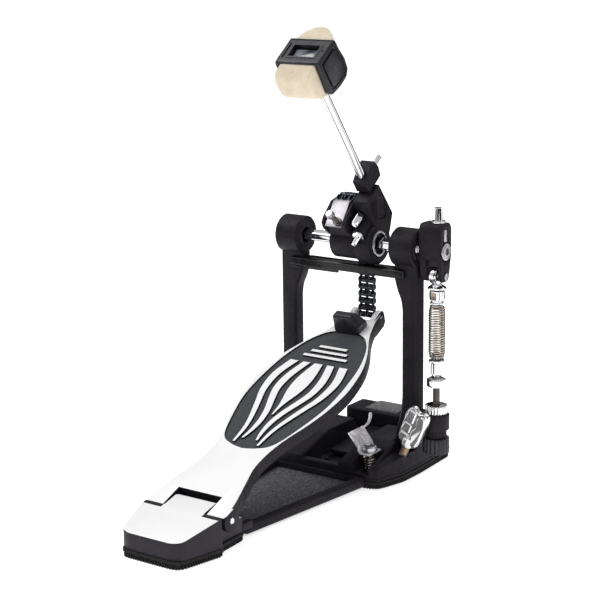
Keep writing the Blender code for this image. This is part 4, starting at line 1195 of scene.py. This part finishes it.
def fluted(radius, depth, count):
    """A round outline with flutes."""
    steps = count * 8
    line = []
    for k in range(steps):
        angle = 2 * math.pi * k / steps
        wave = 0.5 + 0.5 * math.cos(angle * count)
        r = radius - depth * (1 - wave)
        line.append((r * math.cos(angle), r * math.sin(angle)))
    return line


def thread(name, radius, low, high, matrix, pitch=1.0, deep=0.45):
    """A rod with its thread as close rings."""
    profile = [(0, high)]
    count = int((high - low) / pitch)
    step = (high - low) / count
    for k in range(count):
        top = high - k * step
        profile += [(radius - deep, top), (radius, top - step * 0.35), (radius, top - step * 0.65)]
    profile += [(radius - deep, low), (0, low)]
    return turned(name, profile, matrix, 32)


def adjusters():
    """The threaded rod below the spring, its nuts and knob, and the neck of the lug that holds it."""
    rod = thread("spring_rod_thread", 3.0, 39.0, 86.0, SPRING_LINE)
    finish(rod, "frame", CHROME, "spring_rod", material=DARK_THREAD_AND_SHADE)
    nut = cylinder("spring_rod_hex", (0, 0, 82.5), (0, 0, 89.8), 8.4, 6, matrix=SPRING_LINE, bevel=0.7)
    finish(nut, "frame", CHROME, "spring_rod_nut")
    lock = plate("lock_nut_knurl", fluted(9.75, 0.8, 22), "Z", 59.4, 66.5, SPRING_LINE, bevel=0.4)
    cut(lock, cylinder("lock_bore", (0, 0, 55), (0, 0, 75), 3.4, 24, matrix=SPRING_LINE))
    finish(lock, "lock_nut", CHROME, "lock_nut")
    knob = plate("tension_knob_grip", fluted(11.5, 1.1, 18), "Z", 24.5, 38.0, SPRING_LINE, bevel=0.7)
    finish(knob, "tension_knob", PLASTIC, "tension_knob")
    neck = plate("lug_neck", fluted(9.1, 0.9, 20), "Z", 38.6, 45.4, SPRING_LINE, bevel=0.3)
    cut(neck, cylinder("neck_bore", (0, 0, 30), (0, 0, 50), 3.6, 24, matrix=SPRING_LINE))
    finish(neck, "frame", CASTING)


def bearing_rim():
    """The bright rim round the right bearing."""
    finish(ring_x("bearing_rim", 10.9, 9.5, 0, SHAFT.z, 68.9, 69.9, 60), "frame", CHROME)


adjusters()
bearing_rim()


def wing_bolt():
    """The hoop clamp's wing: a stout stepped casting on a short brass-coloured bolt."""
    bolt = thread("wing_thread", 3.5, -8, 14, WING, 1.6, 0.7)
    finish(bolt, "wing_bolt", CHROME, material=BRASS)
    half = flowing([
        (0, 12.6), (6.0, 12), (9.0, 15.5), (10.2, 20), (10.3, 34), (10.7, 42), (8.6, 48.5), (5.0, 50.0),
        (2.0, 48.5), (0, 47.5),
    ], 5)
    body = plate("wing_casting", mirrored(half), "Y", -2.6, 2.6, WING, bevel=0.6)
    boss = cylinder("wing_boss", (0, 0, 11), (0, 0, 20), 6.0, 8, 5.4, matrix=WING, bevel=0.4)
    cheek = [(0.2, 15), (4, 13.6), (8.4, 15.5), (9.7, 24), (9.8, 38), (8.0, 46.5), (4.4, 48.0), (0.8, 43)]
    cheek += [(2.4, 34), (0.2, 28)]
    cheek = rounded_corners(cheek, 1.0, 2)
    pieces = [plate("wing_cheek", cheek, "Y", -4.0, 4.0, WING, bevel=1.0, segments=1)]
    for low, high, deep in ((15.0, 22.6, 3.9), (24.0, 33.6, 3.5), (35.0, 47.6, 3.9)):
        step = [(-9.8, low + 1), (-7, low), (-1.2, low), (-1.2, high), (-8.8, high)]
        pieces.append(plate(f"wing_step_{low}", step, "Y", -deep, deep, WING, bevel=0.9, segments=1))
    join(body, boss, *pieces)
    finish(body, "wing_bolt", CHROME, "wing_bolt", material=CAST_NICKEL, angle=24)


def clamp_stud():
    """The dark threaded stud that stands on the chain's clamp plate, with its bright head."""
    normal, seat = Vector((-0.817, 0.576)), Vector((-26.0, 220.2))

    def along(reach):
        return 3.4, *(seat + normal * reach)

    head = cylinder("stud_head", along(11.6), along(16.5), 3.6, 32, bevel=0.7)
    finish(head, "shaft", CHROME, material=NICKEL)
    turn = Vector((0, 0, 1)).rotation_difference(Vector((0, *normal))).to_matrix().to_4x4()
    base = Matrix.Translation(Vector(along(0)) * MM) @ turn
    stud = thread("stud_thread", 2.3, 0.6, 12.2, base, 1.1, 0.4)
    gather(stud, cylinder("stud_washer", along(0.5), along(1.9), 3.9, 32, bevel=0.2))
    finish(stud, "shaft", CHROME, "chain_clamp_screw", material=DARK_THREAD_AND_SHADE)


def holder():
    """The beater's holder, with the D-shaped pocket of its outer face."""
    body = cad_copy("holder_cast", "beater_holder", 0.5)
    pocket = rounded_corners([(-4, 239.5), *arc((-1.0, 228.0), 13.0, 80, -38, 10), (-4, 221)], 1.5, 3)
    cut(body, plate("pocket", pocket, "X", 27.3, 32))
    finish(body, "shaft", CASTING, "beater_holder")


def rocker_details():
    """The rocker with its web, its socket screw, its gauge bar, and the slotted head of its pin."""
    body = cad_copy("rocker_cast", "spring_rocker", 0.5)
    web = block("rocker_web", (79.0, -5.4, 187.4), (90.2, 5.4, 193.6))
    finish(gather(body, web), "shaft", CASTING, "spring_rocker")
    screw = disc_x("rocker_socket_screw", 92.6, 94.6, SHAFT.y - 0.6, SHAFT.z, 7.3, 64, 0.5)
    ring = ring_x("screw_ring", 5.7, 4.8, -0.6, SHAFT.z, 94.1, 96, 45)
    cut(screw, ring, disc_x("screw_socket", 93.2, 96, SHAFT.y, SHAFT.z, 3.4, 6))
    finish(screw, "shaft", CHROME, "rocker_end_screw", material=NICKEL)
    # A thin dark disc at the floor of the hex socket: painted shade.
    well = disc_x("socket_shade", 93.05, 93.35, SHAFT.y, SHAFT.z, 3.2, 6)
    finish(well, "shaft", CHROME, material=DARK_THREAD_AND_SHADE)
    bar = block("gauge_bar", (92.3, -2.9, 208.4), (93.4, 1.9, 218.6), bevel=0.3)
    finish(bar, "shaft", CHROME, material=NICKEL)
    head = disc_x("rocker_pin_head", 93.75, 94.9, -0.4, PIN_Z, 3.3, 40, 0.3)
    for name, wide, tall in (("slot_up", 0.45, 3), ("slot_across", 3, 0.45)):
        cut(head, block(name, (94.4, -wide, PIN_Z - tall), (96, wide, PIN_Z + tall)))
    finish(head, "shaft", CHROME, material=NICKEL)


def upper_shackle():
    """The shackle below the eye: open in front and behind, with a core and a cross pin."""
    profile = [(0, 165.8), (6.0, 165.8), (6.5, 165.3), (6.5, 158.4), (5.9, 157.8), (4.8, 157.4), (4.8, 156.4)]
    profile += [(6.3, 155.8), (6.3, 155.0), (4.0, 154.2), (4.0, 150), (0, 150)]
    body = turned("shackle_cast", profile, SPRING_LINE)
    for name, near, far in (("window", -8, -1.5), ("rear_window", 1.5, 8)):
        cut(body, block(name, (-2.7, near, 158.6), (2.7, far, 165.0), SPRING_LINE))
    finish(body, "spring_upper", CHROME, "upper_shackle")
    core = block("shackle_core", (-2.5, -1.9, 158.8), (2.5, 1.9, 164.8), SPRING_LINE, 0.3)
    finish(core, "spring_upper", CHROME, material=BRASS)
    for side in (-1, 1):
        low, high = sorted((SPRING.x + 4.6 * side, SPRING.x + 6.4 * side))
        pin = disc_x(f"shackle_pin_{side}", low, high, SPRING.y, 161.6, 2.8, 28, 0.4)
        finish(pin, "spring_upper", CHROME)


wing_bolt()
clamp_stud()
holder()
rocker_details()
upper_shackle()
plain_nodes()
